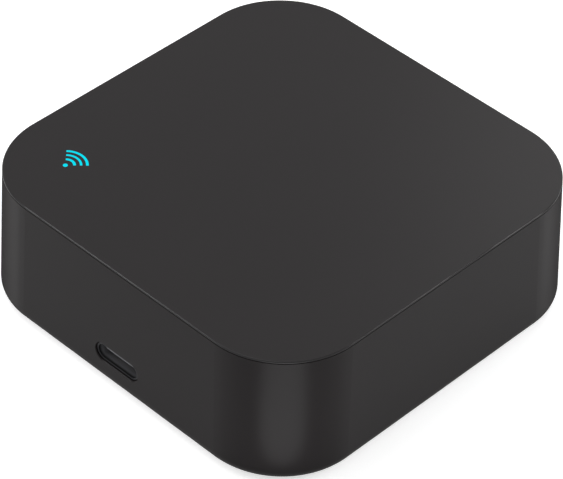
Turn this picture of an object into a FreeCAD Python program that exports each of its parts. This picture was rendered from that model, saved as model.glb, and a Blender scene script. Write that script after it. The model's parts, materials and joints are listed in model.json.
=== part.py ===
import FreeCAD, Part
import math
import os

from FreeCAD import Vector

# A square infrared controller for the home, in the pieces that it comes apart into on a bench.
# Millimetres. +Z is up and the feet stand on z = 0. The power socket opens towards -Y,
# and the lit status symbol is near the -X -Y corner of the top.

# Case: housing, base plate and feet
case_width = 70.0
case_height = 23.0
side_draft = 1.87
corner_radius = 14.0
wall = 2.0
deck_thickness = 1.3
lower_edge_radius = 1.5
base_thickness = 2.0
base_gap = 0.15
base_edge_radius = 0.3
stand_off = 0.6
foot_radius = 4.0
foot_recess_depth = 0.8
foot_gap = 0.1
foot_edge_radius = 0.4
foot_groove_radius = 2.2
foot_groove_width = 0.8
foot_groove_depth = 0.2

# Top panel: a stepped sheet whose thin lip covers the rim of the housing
panel_thickness = 1.4
panel_lip = 0.3
panel_edge_radius = 0.2
panel_gap = 0.1
rim_width = 1.5
lip_gap = 0.05
seam_height = 0.1
seam_depth = 0.4
tape_thickness = 0.15
tape_inset = 0.8
tape_width = 8.0
peg_radius = 1.0
peg_length = 0.9
peg_gap = 0.05
peg_side = 8.0

# Ribs and lips that stiffen the housing and locate the base plate
stop_rib_depth = 0.6
stop_rib_width = 1.2
stop_rib_place = 16.0
lip_height = 1.2
lip_thickness = 1.0
lip_end_gap = 0.5
rest_thickness = 1.0
rest_width = 5.0
lip_notch_gap = 0.6

# Screws, all driven from below: four close the case, four hold the board up against its posts
boss_radius = 2.7
boss_inset = 3.4
gusset_thickness = 1.2
case_screw_length = 7.0
case_screw_radius = 0.95
case_head_radius = 1.85
case_head_height = 1.1
head_recess = 0.1
head_gap = 0.25
board_screw_length = 4.8
board_screw_radius = 0.8
board_head_radius = 1.8
board_head_height = 1.2
screw_point = 1.2
thread_gap = 0.03
hole_gap = 0.2
pilot_spare = 1.0
head_bevel = 0.4
head_crown = 0.5
cross_width = 0.5
cross_reach = 1.1
cross_depth = 0.7
cross_twist = 35.0
foot_web = 1.2
post_radius = 2.5
post_draft = 0.4
post_place = 10.0
post_edge = 4.3

# Circuit board
board_thickness = 1.2
board_gap = 0.8
notch_gap = 0.5
lead_hole_radius = 0.45
lead_tail = 0.9

# Power socket, under the front edge of the board
port_height = 5.4
port_gap = 0.12
port_flare = 0.1
socket_width = 8.94
socket_height = 3.16
socket_sheet = 0.3
socket_length = 9.0
socket_set_back = 0.25
socket_plug_depth = 6.4
socket_leg_width = 1.1
socket_leg_places = (3.6, 7.6)
socket_leg_proud = 0.4
tongue_width = 6.7
tongue_thickness = 0.7
tongue_set_back = 0.9
contact_count = 12
contact_pitch = 0.5
contact_width = 0.26
contact_thickness = 0.05
contact_length = 4.0

# Reset button and the switch that it presses, under the board
reset_inset = 20.0
reset_travel = 0.3
cap_radius = 2.5
cap_gap = 0.15
cap_set_back = 0.3
cap_edge_radius = 0.3
cap_dish = 0.2
cap_flange_radius = 3.6
cap_flange_thickness = 0.68
collar_gap = 0.15
collar_wall = 0.9
collar_height = 1.2
switch_side = 6.0
switch_corner_radius = 0.3
switch_stop_gap = 0.5
switch_cover_thickness = 0.2
switch_cavity_radius = 2.4
switch_cavity_depth = 1.3
plunger_radius = 1.7
plunger_gap = 0.1
plunger_flange_radius = 2.2
plunger_dome_gap = 0.03
dome_radius = 2.2
dome_spare = 0.2
dome_sheet = 0.08
switch_leg_width = 0.7
switch_leg_sheet = 0.2
switch_leg_length = 1.0
switch_leg_pitch = 4.5

# Status symbol: a dot and three arcs on a clear guide that carries the lamp's light up
symbol_inset = 11.63
symbol_dot_radius = 0.37
symbol_arcs = ((1.41, 0.4), (2.41, 0.34), (3.36, 0.38))
symbol_spread = 45.0
symbol_gap = 0.03
guide_plate_radius = 3.2
guide_plate_thickness = 0.8
guide_centre_rise = 1.75
guide_stem_radius = 1.5
guide_tip_radius = 1.2
guide_gap = 0.1
guide_lamp_gap = 0.3
sleeve_inner_radius = 1.65
sleeve_wall = 0.6

# Infrared emitters: six look out through the sides and one looks up
emitter_radius = 2.5
emitter_flange_radius = 2.9
emitter_flange_height = 1.0
emitter_length = 8.6
emitter_flat = 2.5
emitter_wall_gap = 1.2
emitter_side_angle = 30.0
emitter_pitch = 2.54
wire = 0.5
wire_straight = 2.0
wire_bend = 1.0
top_emitter_place = (-9.0, 16.0)

# Receiver that learns from hand-held remotes
receiver_side_inset = 15.0
receiver_front_inset = 11.5
receiver_width = 6.0
receiver_thickness = 2.6
receiver_height = 7.0
receiver_lens_radius = 2.3
receiver_lens_height = 4.4
receiver_clearance = 1.5
receiver_pitch = 2.0

# Radio module, on its own small board
radio_place = (8.5, 4.0)
radio_width = 16.0
radio_length = 24.0
radio_board_thickness = 0.8
radio_pads = 8
radio_pad_pitch = 2.0
radio_pad_radius = 0.4
radio_pad_edge = 2.0
shield_width = 12.4
shield_length = 15.0
shield_height = 2.4
shield_sheet = 0.2
shield_corner = 1.0
shield_top_radius = 0.3
shield_edge_gap = 1.2
antenna_turns = 5
antenna_pitch = 2.4
antenna_shield_gap = 2.2
antenna_track = 0.6
antenna_sheet = 0.05
antenna_edge_gap = 1.2

# Power and drive parts on the board
capacitor_place = (-7.5, -6.5)
capacitor_radius = 4.0
capacitor_headroom = 0.65
capacitor_base_side = 8.4
capacitor_base_height = 1.3
capacitor_base_chamfer = 1.4
capacitor_edge_radius = 0.6
capacitor_groove = 0.35
capacitor_groove_height = 1.6
regulator_x = -7.5
regulator_front_inset = 13.0
regulator_size = (6.5, 3.5, 1.6)
regulator_lead_count = 3
regulator_pitch = 2.3
regulator_lead_length = 1.75
chip_place = (-11.0, 4.0)
chip_size = (3.9, 10.0, 1.5)
chip_side_lead_count = 8
chip_pitch = 1.27
chip_lead_length = 1.05
transistor_side_inset = 12.0
transistor_size = (2.9, 1.3, 1.0)
transistor_count = 4
transistor_spacing = 4.0
transistor_lead_length = 0.6
transistor_lead_pitch = 0.95
chip_lead_width = 0.4
chip_lead_sheet = 0.15
power_lead_width = 0.8
power_tab_width = 3.1
lead_shoulder_share = 0.35
lead_foot_share = 0.55
inductor_side_inset = 15.5
inductor_front_inset = 14.5
inductor_size = (4.0, 4.0, 2.0)
inductor_corner_radius = 0.9
diode_x = 6.0
diode_front_inset = 16.5
diode_size = (4.3, 2.6, 2.1)
resistor_size = (1.6, 0.8, 0.45)
resistor_first_inset = 5.4
resistor_line_gap = 2.7
resistor_count = 6
small_capacitor_size = (1.6, 0.8, 0.8)
small_capacitor_first_inset = 6.1
small_capacitor_line_gap = 2.8
small_capacitor_count = 4
small_part_pitch = 2.2
lamp_size = (2.0, 1.25, 0.8)
body_chamfer = 0.15

# Heights and places worked out from the sizes above
base_bottom = stand_off
floor_top = base_bottom + base_thickness
panel_top = base_bottom + case_height
panel_bottom = panel_top - panel_thickness
lip_bottom = panel_top - panel_lip
rim_top = lip_bottom - lip_gap
deck_top = panel_bottom - tape_thickness
deck_bottom = deck_top - deck_thickness
port_z = base_bottom + port_height
board_bottom = port_z + socket_height / 2
board_top = board_bottom + board_thickness
cap_top = floor_top + cap_flange_thickness
reset_y = case_width / 2 - reset_inset
switch_low = cap_top + reset_travel + switch_stop_gap + switch_cover_thickness
dome_rim = switch_low + switch_cavity_depth
dome_rise = reset_travel + dome_spare
symbol_x = symbol_inset - case_width / 2
symbol_y = symbol_x
guide_x = symbol_x
guide_y = symbol_y + guide_centre_rise
emitter_z = board_top + emitter_flange_radius
antenna_depth = radio_length - shield_edge_gap - shield_length - antenna_shield_gap - antenna_edge_gap
diagonal = math.sqrt(0.5)
corners = ((-1, -1), (1, -1), (-1, 1), (1, 1))
cut_spare = 1.0
near = 0.01


def half_at(z):
    """Half the case's outer width at a height, on its drafted sides."""
    return case_width / 2 - (z - base_bottom) * math.tan(math.radians(side_draft))


def rounded_square(half, radius, z):
    """A closed wire: a square with round corners, at height z."""
    flat = half - radius
    mid = flat + radius * diagonal
    edges = []
    for turn in range(4):
        spin = FreeCAD.Rotation(Vector(0, 0, 1), 90 * turn)
        points = [(half, -flat), (half, flat), (mid, mid), (flat, half)]
        a, b, c, d = [spin.multVec(Vector(x, y, 0)) + Vector(0, 0, z) for x, y in points]
        edges.append(Part.LineSegment(a, b).toShape())
        edges.append(Part.Arc(b, c, d).toShape())
    return Part.Wire(edges)


def drafted_block(low, high, inset):
    """The case's drafted outline between two heights, taken in by inset on every side."""
    wires = [rounded_square(half_at(z) - inset, corner_radius - inset, z) for z in (low, high)]
    return Part.makeLoft(wires, True, True)


def straight_block(half, radius, low, high):
    """A rounded square with upright sides."""
    face = Part.Face(rounded_square(half, radius, low))
    return face.extrude(Vector(0, 0, high - low))


def cylinder(radius, x, y, low, high):
    return Part.makeCylinder(radius, high - low, Vector(x, y, low))


def box(x0, x1, y0, y1, z0, z1):
    return Part.makeBox(x1 - x0, y1 - y0, z1 - z0, Vector(x0, y0, z0))


def centred_box(size, x, y, low):
    return box(x - size[0] / 2, x + size[0] / 2, y - size[1] / 2, y + size[1] / 2, low, low + size[2])


def revolved(profile, x, y):
    """A solid of revolution about an upright axis through x, y. The profile holds (radius, z) points."""
    points = [Vector(r, 0, z) for r, z in profile]
    face = Part.Face(Part.makePolygon(points + points[:1]))
    solid = face.revolve(Vector(0, 0, 0), Vector(0, 0, 1), 360)
    solid.translate(Vector(x, y, 0))
    return solid


def edges_at(shape, z):
    """The edges of a shape that lie flat at height z."""
    return [e for e in shape.Edges if max(abs(e.BoundBox.ZMin - z), abs(e.BoundBox.ZMax - z)) < near]


def upright_edges(shape):
    """The edges that run the shape's full height."""
    return [e for e in shape.Edges if e.BoundBox.ZLength > shape.BoundBox.ZLength - near]


def strip(path, sheet, width):
    """A bent metal strip: path is its centre line in X and Z, mitred at the bends, and width lies along Y."""
    sides = ([], [])
    for i, point in enumerate(path):
        before = path[max(i - 1, 0)]
        after = path[min(i + 1, len(path) - 1)]
        along_in = Vector(point[0] - before[0], point[1] - before[1], 0)
        along_out = Vector(after[0] - point[0], after[1] - point[1], 0)
        if along_in.Length == 0:
            along_in = along_out
        if along_out.Length == 0:
            along_out = along_in
        along_in.normalize()
        along_out.normalize()
        normal = Vector(-along_in.y - along_out.y, along_in.x + along_out.x, 0).normalize()
        reach = sheet / 2 / normal.dot(Vector(-along_in.y, along_in.x, 0))
        for side, sign in zip(sides, (1, -1)):
            side.append(Vector(point[0] + sign * reach * normal.x, 0, point[1] + sign * reach * normal.y))
    outline = sides[0] + sides[1][::-1]
    face = Part.Face(Part.makePolygon(outline + outline[:1]))
    solid = face.extrude(Vector(0, width, 0))
    solid.translate(Vector(0, -width / 2, 0))
    return solid


def turned(shape, angle, x, y, z):
    """A copy of a shape turned about Z and then moved."""
    moved = shape.copy()
    moved.Placement = FreeCAD.Placement(Vector(x, y, z), FreeCAD.Rotation(Vector(0, 0, 1), angle))
    return moved


def stadium(width, height, y, z):
    """A closed wire in an upright plane facing Y: a slot with round ends."""
    r = height / 2
    flat = width / 2 - r
    top = Part.LineSegment(Vector(flat, y, z + r), Vector(-flat, y, z + r))
    left = Part.Arc(Vector(-flat, y, z + r), Vector(-flat - r, y, z), Vector(-flat, y, z - r))
    bottom = Part.LineSegment(Vector(-flat, y, z - r), Vector(flat, y, z - r))
    right = Part.Arc(Vector(flat, y, z - r), Vector(flat + r, y, z), Vector(flat, y, z + r))
    return Part.Wire([piece.toShape() for piece in (top, left, bottom, right)])


def stadium_block(width, height, y0, y1, z):
    return Part.Face(stadium(width, height, y0, z)).extrude(Vector(0, y1 - y0, 0))


def moulded_body(size, x, y, low):
    """A small moulded package with its upper edges broken."""
    body = centred_box(size, x, y, low)
    return body.makeChamfer(body_chamfer, edges_at(body, low + size[2]))


def ring_sector(inner, outer, spread, low, high):
    """Part of a flat ring about the Z axis, centred on +Y and reaching spread degrees to each side."""
    def point(radius, angle):
        a = math.radians(90 + angle)
        return Vector(radius * math.cos(a), radius * math.sin(a), low)
    edges = [
        Part.Arc(point(outer, -spread), point(outer, 0), point(outer, spread)).toShape(),
        Part.LineSegment(point(outer, spread), point(inner, spread)).toShape(),
        Part.Arc(point(inner, spread), point(inner, 0), point(inner, -spread)).toShape(),
        Part.LineSegment(point(inner, -spread), point(outer, -spread)).toShape(),
    ]
    return Part.Face(Part.Wire(edges)).extrude(Vector(0, 0, high - low))


def diagonal_place(inset):
    """One coordinate of a point on the corner's diagonal, inset from the cavity's corner at the floor."""
    radius = corner_radius - wall
    centre = half_at(base_bottom) - wall - radius
    return centre + (radius - inset) * diagonal


boss_place = diagonal_place(boss_inset)
foot_place = diagonal_place(boss_inset + case_head_radius + head_gap + foot_web + foot_radius + foot_gap)
board_half = half_at(board_top) - wall - board_gap
post_y = board_half - post_edge
receiver_place = (board_half - receiver_side_inset, receiver_front_inset - board_half)
regulator_place = (regulator_x, regulator_front_inset - board_half)
inductor_place = (inductor_side_inset - board_half, inductor_front_inset - board_half)
diode_place = (diode_x, diode_front_inset - board_half)
emitter_reach = half_at(emitter_z + emitter_radius) - wall - emitter_wall_gap - emitter_radius
socket_front = -half_at(port_z) + socket_set_back
socket_back = socket_front + socket_length


def symbol(grow, low, high):
    """The status symbol's dot and arcs as upright solids, each side grown by grow."""
    marks = [Part.makeCylinder(symbol_dot_radius + grow, high - low, Vector(0, 0, low))]
    for radius, stroke in symbol_arcs:
        spread = symbol_spread + math.degrees(grow / radius)
        marks.append(ring_sector(radius - stroke / 2 - grow, radius + stroke / 2 + grow, spread, low, high))
    return [turned(mark, 0, symbol_x, symbol_y, 0) for mark in marks]


def peg_places():
    """A locating peg near each side of the top panel, midway across the tape."""
    place = half_at(panel_top) - rim_width - panel_gap - tape_inset - tape_width / 2
    places = []
    for side in (-1, 1):
        places += [(side * place, peg_side), (-side * peg_side, side * place)]
    return places


def make_top_panel():
    lip = drafted_block(lip_bottom, panel_top, 0)
    lip = lip.makeFillet(panel_edge_radius, edges_at(lip, panel_top))
    half = half_at(panel_top) - rim_width - panel_gap
    plug = straight_block(half, corner_radius - rim_width - panel_gap, panel_bottom, lip_bottom)
    pegs = [cylinder(peg_radius, x, y, panel_bottom - peg_length, panel_bottom) for x, y in peg_places()]
    panel = lip.fuse([plug] + pegs).removeSplitter()
    return panel.cut(symbol(symbol_gap, panel_bottom - cut_spare, panel_top + cut_spare))


def make_panel_tape():
    half = half_at(panel_top) - rim_width - panel_gap - tape_inset
    radius = corner_radius - rim_width - panel_gap - tape_inset
    sheet = straight_block(half, radius, deck_top, panel_bottom)
    middle = straight_block(half - tape_width, radius - tape_width, deck_top, panel_bottom)
    holes = [cylinder(peg_radius + peg_gap, x, y, deck_top, panel_bottom) for x, y in peg_places()]
    holes.append(cylinder(guide_plate_radius + guide_gap, guide_x, guide_y, deck_top, panel_bottom))
    return sheet.cut([middle] + holes)


def boss_columns():
    """The four screw bosses in the housing's corners, each tied to its corner by a gusset."""
    columns = []
    for sx, sy in corners:
        post = cylinder(boss_radius, sx * boss_place, sy * boss_place, floor_top, deck_top)
        reach = boss_inset + wall
        web = box(0, reach, -gusset_thickness / 2, gusset_thickness / 2, floor_top, deck_top)
        angle = math.degrees(math.atan2(sy, sx))
        columns += [post, turned(web, angle, sx * boss_place, sy * boss_place, 0)]
    return columns


def post_places():
    return [(sx * post_place, sy * post_y) for sx, sy in corners]


def board_posts():
    """Tapered posts that hang from the deck and end on the board."""
    height = deck_top - board_top
    return [Part.makeCone(post_radius, post_radius + post_draft, height, Vector(x, y, board_top))
            for x, y in post_places()]


def stop_ribs():
    """Ribs down the inside of the walls whose lower ends the base plate meets."""
    ribs = []
    for turn in range(4):
        for place in (-stop_rib_place, stop_rib_place):
            outer = half_at(base_bottom)
            rib = box(0, outer, place - stop_rib_width / 2, place + stop_rib_width / 2, floor_top, deck_top)
            ribs.append(turned(rib, 90 * turn, 0, 0, 0))
    ring = drafted_block(base_bottom, deck_top, wall / 2).cut(
        drafted_block(base_bottom, deck_top, wall + stop_rib_depth))
    return [rib.common(ring) for rib in ribs]


def port_opening():
    """The slot for the power socket, flared a little where it meets the outer face."""
    width = socket_width + 2 * port_gap
    height = socket_height + 2 * port_gap
    face = -half_at(port_z)
    slot = stadium_block(width, height, face - cut_spare, face + wall + cut_spare, port_z)
    wide = 2 * (port_flare + cut_spare)
    mouth = [
        stadium(width + wide, height + wide, face - cut_spare, port_z),
        stadium(width, height, face + port_flare, port_z),
    ]
    return [slot, Part.makeLoft(mouth, True, True)]


def guide_window():
    """The stepped hole in the deck that the light guide's plate drops into."""
    seat = panel_bottom - guide_plate_thickness
    return [
        cylinder(guide_plate_radius + guide_gap, guide_x, guide_y, seat, panel_top),
        cylinder(guide_stem_radius + guide_gap, guide_x, guide_y, deck_bottom - cut_spare, panel_top),
    ]


def make_housing():
    shell = drafted_block(base_bottom, rim_top, 0)
    shell = shell.makeFillet(lower_edge_radius, edges_at(shell, base_bottom))
    step_low = rim_top - seam_height
    step = drafted_block(step_low, panel_top, -cut_spare).cut(drafted_block(step_low, panel_top, seam_depth))
    cavity = drafted_block(base_bottom - cut_spare, deck_bottom, wall)
    recess_half = half_at(panel_top) - rim_width
    recess = straight_block(recess_half, corner_radius - rim_width, deck_top, panel_top)
    shell = shell.cut([step, cavity, recess])
    inside = drafted_block(base_bottom, deck_top, wall / 2)
    columns = [column.common(inside) for column in boss_columns()]
    shell = shell.fuse(columns + board_posts() + stop_ribs()).removeSplitter()
    pilot_top = floor_top + case_screw_length + pilot_spare
    pilot_radius = case_screw_radius + thread_gap
    holes = [cylinder(pilot_radius, sx * boss_place, sy * boss_place, 0, pilot_top) for sx, sy in corners]
    pilot_top = board_bottom + board_screw_length + pilot_spare
    pilot_radius = board_screw_radius + thread_gap
    holes += [cylinder(pilot_radius, x, y, board_bottom, pilot_top) for x, y in post_places()]
    low = deck_bottom - cut_spare
    holes += [cylinder(peg_radius + peg_gap, x, y, low, panel_top) for x, y in peg_places()]
    return shell.cut(holes + port_opening() + guide_window())


def base_lips():
    """Low walls on the base plate that stand just inside the housing's sides."""
    ring = drafted_block(base_bottom, floor_top + lip_height, wall + base_gap).cut(
        drafted_block(base_bottom, floor_top + lip_height, wall + base_gap + lip_thickness))
    reach = stop_rib_place - stop_rib_width / 2 - lip_end_gap
    outer = half_at(base_bottom)
    lips = []
    for turn in range(4):
        span = box(0, outer, -reach, reach, base_bottom + base_thickness / 2, floor_top + lip_height)
        lips.append(turned(span, 90 * turn, 0, 0, 0).common(ring))
    return lips


def socket_rests():
    """Two ribs under the power socket, which take the push of a plug."""
    rests = []
    for place in socket_leg_places:
        y = socket_front + place
        rests.append(box(-rest_width / 2, rest_width / 2, y - rest_thickness / 2, y + rest_thickness / 2,
                         base_bottom + base_thickness / 2, port_z - socket_height / 2))
    return rests


def make_base_plate():
    plate = drafted_block(base_bottom, floor_top, wall + base_gap)
    plate = plate.makeFillet(base_edge_radius, edges_at(plate, base_bottom))
    collar_inner = cap_flange_radius + collar_gap
    collar_top = floor_top + collar_height
    collar = cylinder(collar_inner + collar_wall, 0, reset_y, base_bottom + base_thickness / 2, collar_top)
    notch = socket_width / 2 + lip_notch_gap
    holes = [
        cylinder(collar_inner, 0, reset_y, floor_top, collar_top + cut_spare),
        cylinder(cap_radius + cap_gap, 0, reset_y, base_bottom - cut_spare, floor_top + cut_spare),
        box(-notch, notch, -half_at(base_bottom), -half_at(base_bottom) + wall + base_gap + lip_thickness,
            floor_top, floor_top + lip_height + cut_spare),
    ]
    seat = base_bottom + head_recess + case_head_height
    for sx, sy in corners:
        x, y = sx * boss_place, sy * boss_place
        holes.append(cylinder(case_head_radius + head_gap, x, y, base_bottom - cut_spare, seat))
        holes.append(cylinder(case_screw_radius + hole_gap, x, y, base_bottom, floor_top + cut_spare))
        x, y = sx * foot_place, sy * foot_place
        holes.append(cylinder(foot_radius + foot_gap, x, y, base_bottom - cut_spare,
                              base_bottom + foot_recess_depth))
    return plate.fuse(base_lips() + socket_rests() + [collar]).removeSplitter().cut(holes)


def make_foot(x, y):
    disc = cylinder(foot_radius, x, y, 0, stand_off + foot_recess_depth)
    disc = disc.makeFillet(foot_edge_radius, edges_at(disc, 0))
    outer = cylinder(foot_groove_radius + foot_groove_width / 2, x, y, 0, foot_groove_depth)
    inner = cylinder(foot_groove_radius - foot_groove_width / 2, x, y, 0, foot_groove_depth)
    return disc.cut(outer.cut(inner))


def screw(radius, length, head_radius, head_height):
    """A cross-head screw driven upwards: its seat is at z = 0, with the head below and the point above."""
    profile = [(0, length), (radius, length - screw_point), (radius, 0), (head_radius, 0),
               (head_radius, head_crown - head_height), (head_radius - head_bevel, -head_height),
               (0, -head_height)]
    low = -head_height - cut_spare
    high = cross_depth - head_height
    return revolved(profile, 0, 0).cut([
        box(-cross_reach, cross_reach, -cross_width / 2, cross_width / 2, low, high),
        box(-cross_width / 2, cross_width / 2, -cross_reach, cross_reach, low, high),
    ])


def screw_set(one, places, seat):
    """The same screw at each place, each turned a little further than the last."""
    return Part.makeCompound([
        turned(one, cross_twist * number, x, y, seat) for number, (x, y) in enumerate(places)])


def make_case_screws():
    one = screw(case_screw_radius, case_screw_length, case_head_radius, case_head_height)
    places = [(sx * boss_place, sy * boss_place) for sx, sy in corners]
    return screw_set(one, places, base_bottom + head_recess + case_head_height)


def make_board_screws():
    one = screw(board_screw_radius, board_screw_length, board_head_radius, board_head_height)
    return screw_set(one, post_places(), board_bottom)


def side_emitters():
    """Name, direction and lens centre of each emitter that looks out through a side."""
    slope = math.tan(math.radians(emitter_side_angle))
    a, r = emitter_side_angle, emitter_reach
    return [
        ("front", -90, 0, -r),
        ("back", 90, 0, r),
        ("right_front", -a, r, -r * slope),
        ("right_back", a, r, r * slope),
        ("left_front", 180 + a, -r, -r * slope),
        ("left_back", 180 - a, -r, r * slope),
    ]


def emitter_body():
    """A round emitter along +X with the centre of its lens at the origin."""
    back = emitter_radius - emitter_length
    step = back + emitter_flange_height
    r = emitter_radius
    rim = emitter_flange_radius
    points = [(back, 0), (back, rim), (step, rim), (step, r), (0, r)]
    edges = []
    for a, b in zip(points, points[1:]):
        edges.append(Part.LineSegment(Vector(a[0], 0, a[1]), Vector(b[0], 0, b[1])).toShape())
    tip = Part.Arc(Vector(0, 0, r), Vector(r * diagonal, 0, r * diagonal), Vector(r, 0, 0)).toShape()
    closing = Part.LineSegment(Vector(r, 0, 0), Vector(back, 0, 0)).toShape()
    face = Part.Face(Part.Wire(edges + [tip, closing]))
    body = face.revolve(Vector(0, 0, 0), Vector(1, 0, 0), 360)
    flat = box(back - cut_spare, step, emitter_flat, rim + cut_spare, -rim, rim)
    return body.cut(flat)


def make_side_emitter(angle, x, y):
    return turned(emitter_body(), angle, x, y, emitter_z)


def make_top_emitter():
    body = emitter_body()
    body.rotate(Vector(0, 0, 0), Vector(0, 1, 0), -90)
    x, y = top_emitter_place
    body.translate(Vector(x, y, board_top + emitter_length - emitter_radius))
    return body


def emitter_wire_drop():
    """How far behind the lens centre a side emitter's wires turn down into the board."""
    return emitter_length - emitter_radius + wire_straight + wire_bend / 2


def make_emitter_leads():
    back = emitter_radius - emitter_length
    drop = -emitter_wire_drop()
    low = board_bottom - lead_tail - emitter_z
    path = [(back, 0), (back - wire_straight + wire_bend / 2, 0), (drop, -wire_bend), (drop, low)]
    bent = strip(path, wire, wire)
    group = []
    for name, angle, x, y in side_emitters():
        for side in (-0.5, 0.5):
            one = bent.copy()
            one.translate(Vector(0, side * emitter_pitch, 0))
            one.rotate(Vector(0, 0, 0), Vector(0, 0, 1), angle)
            one.translate(Vector(x, y, emitter_z))
            group.append(one)
    x, y = top_emitter_place
    for side in (-0.5, 0.5):
        group.append(centred_box((wire, wire, board_thickness + lead_tail), x, y + side * emitter_pitch,
                                 board_bottom - lead_tail))
    return Part.makeCompound(group)


def lead_holes():
    """Where wires pass through the board: the emitters' and the receiver's."""
    places = []
    for name, angle, x, y in side_emitters():
        spin = FreeCAD.Rotation(Vector(0, 0, 1), angle)
        for side in (-0.5, 0.5):
            point = spin.multVec(Vector(-emitter_wire_drop(), side * emitter_pitch, 0))
            places.append((x + point.x, y + point.y))
    x, y = top_emitter_place
    places += [(x, y + side * emitter_pitch) for side in (-0.5, 0.5)]
    x, y = receiver_place
    places += [(x + step * receiver_pitch, y) for step in (-1, 0, 1)]
    return places


def socket_legs(grow, low, high):
    """The four legs of the socket's shell, or the slots for them when grown."""
    legs = []
    for side in (-1, 1):
        for place in socket_leg_places:
            x = side * (socket_width - socket_sheet) / 2
            y = socket_front + place
            legs.append(box(x - socket_sheet / 2 - grow, x + socket_sheet / 2 + grow,
                            y - socket_leg_width / 2 - grow, y + socket_leg_width / 2 + grow, low, high))
    return legs


def make_circuit_board():
    board = straight_block(board_half, corner_radius - wall - board_gap, board_bottom, board_top)
    cuts = []
    for sx, sy in corners:
        x, y = sx * boss_place, sy * boss_place
        radius = boss_radius + notch_gap
        cuts.append(cylinder(radius, x, y, board_bottom, board_top))
        slot = box(0, 2 * radius, -radius, radius, board_bottom, board_top)
        cuts.append(turned(slot, math.degrees(math.atan2(sy, sx)), x, y, 0))
    for x, y in post_places():
        cuts.append(cylinder(board_screw_radius + hole_gap, x, y, board_bottom, board_top))
    for x, y in lead_holes():
        cuts.append(cylinder(lead_hole_radius, x, y, board_bottom, board_top))
    cuts += socket_legs(hole_gap, board_bottom, board_top)
    return board.cut(cuts)


def make_socket_shell():
    outer = stadium_block(socket_width, socket_height, socket_front, socket_back, port_z)
    inner = stadium_block(socket_width - 2 * socket_sheet, socket_height - 2 * socket_sheet,
                          socket_front - cut_spare, socket_back + cut_spare, port_z)
    tube = outer.cut(inner)
    return tube.fuse(socket_legs(0, port_z, board_top + socket_leg_proud)).removeSplitter()


def make_socket_insulator():
    block = stadium_block(socket_width - 2 * socket_sheet, socket_height - 2 * socket_sheet,
                          socket_front + socket_plug_depth, socket_back, port_z)
    tongue = box(-tongue_width / 2, tongue_width / 2, socket_front + tongue_set_back,
                 socket_front + socket_plug_depth + cut_spare,
                 port_z - tongue_thickness / 2, port_z + tongue_thickness / 2)
    tip = [e for e in tongue.Edges if e.BoundBox.YMax < socket_front + tongue_set_back + near]
    tongue = tongue.makeChamfer(body_chamfer, [e for e in tip if e.BoundBox.XLength > near])
    return block.fuse(tongue).removeSplitter()


def make_socket_contacts():
    group = []
    y1 = socket_front + socket_plug_depth
    for number in range(contact_count):
        x = (number - (contact_count - 1) / 2) * contact_pitch
        for low in (port_z + tongue_thickness / 2, port_z - tongue_thickness / 2 - contact_thickness):
            group.append(box(x - contact_width / 2, x + contact_width / 2, y1 - contact_length, y1,
                             low, low + contact_thickness))
    return Part.makeCompound(group)


def make_reset_button():
    low = base_bottom + cap_set_back
    barrel = cylinder(cap_radius, 0, reset_y, low, cap_top)
    barrel = barrel.makeFillet(cap_edge_radius, edges_at(barrel, low))
    flange = cylinder(cap_flange_radius, 0, reset_y, floor_top, cap_top)
    mouth = cap_radius - cap_edge_radius
    dish_radius = (mouth ** 2 + cap_dish ** 2) / (2 * cap_dish)
    dish = Part.makeSphere(dish_radius, Vector(0, reset_y, low + cap_dish - dish_radius))
    return barrel.fuse(flange).removeSplitter().cut(dish)


def make_switch_body():
    body = centred_box((switch_side, switch_side, board_bottom - switch_low), 0, reset_y, switch_low)
    return body.cut(cylinder(switch_cavity_radius, 0, reset_y, switch_low, dome_rim))


def make_switch_cover():
    low = switch_low - switch_cover_thickness
    plate = centred_box((switch_side, switch_side, switch_cover_thickness), 0, reset_y, low)
    plate = plate.makeFillet(switch_corner_radius, upright_edges(plate))
    return plate.cut(cylinder(plunger_radius + plunger_gap, 0, reset_y, low, switch_low))


def make_switch_plunger():
    stem = cylinder(plunger_radius, 0, reset_y, cap_top, switch_low)
    flange = cylinder(plunger_flange_radius, 0, reset_y, switch_low, dome_rim - dome_rise - plunger_dome_gap)
    return stem.fuse(flange).removeSplitter()


def make_switch_dome():
    """A snap dome: its crown faces down at the plunger and its rim bears on the end of the cavity."""
    radius = (dome_radius ** 2 + dome_rise ** 2) / (2 * dome_rise)
    centre = Vector(0, reset_y, dome_rim - dome_rise + radius)
    skin = Part.makeSphere(radius, centre).cut(Part.makeSphere(radius - dome_sheet, centre))
    return skin.common(cylinder(dome_radius, 0, reset_y, dome_rim - dome_rise, dome_rim))


def make_switch_legs():
    side = switch_side / 2
    sheet = switch_leg_sheet
    path = [(side + sheet / 2, (switch_low - board_bottom) / 2), (side + sheet / 2, -sheet / 2),
            (side + switch_leg_length, -sheet / 2)]
    one = strip(path, sheet, switch_leg_width)
    group = []
    for turn in (0, 180):
        for place in (-0.5, 0.5):
            leg = one.copy()
            leg.translate(Vector(0, place * switch_leg_pitch, 0))
            group.append(turned(Part.makeCompound([leg]), turn, 0, reset_y, board_bottom))
    return Part.makeCompound(group)


def make_light_guide():
    low = board_top + lamp_size[2] + guide_lamp_gap
    seat = panel_bottom - guide_plate_thickness
    profile = [(0, low), (guide_tip_radius, low), (guide_stem_radius, seat),
               (guide_plate_radius, seat), (guide_plate_radius, panel_bottom), (0, panel_bottom)]
    guide = revolved(profile, guide_x, guide_y)
    return guide.fuse(symbol(0, panel_bottom - body_chamfer, panel_top)).removeSplitter()


def make_light_sleeve():
    outer = cylinder(sleeve_inner_radius + sleeve_wall, guide_x, guide_y, board_top, deck_bottom)
    return outer.cut(cylinder(sleeve_inner_radius, guide_x, guide_y, board_top, deck_bottom))


def make_status_lamp():
    return moulded_body(lamp_size, guide_x, guide_y, board_top)


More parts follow.
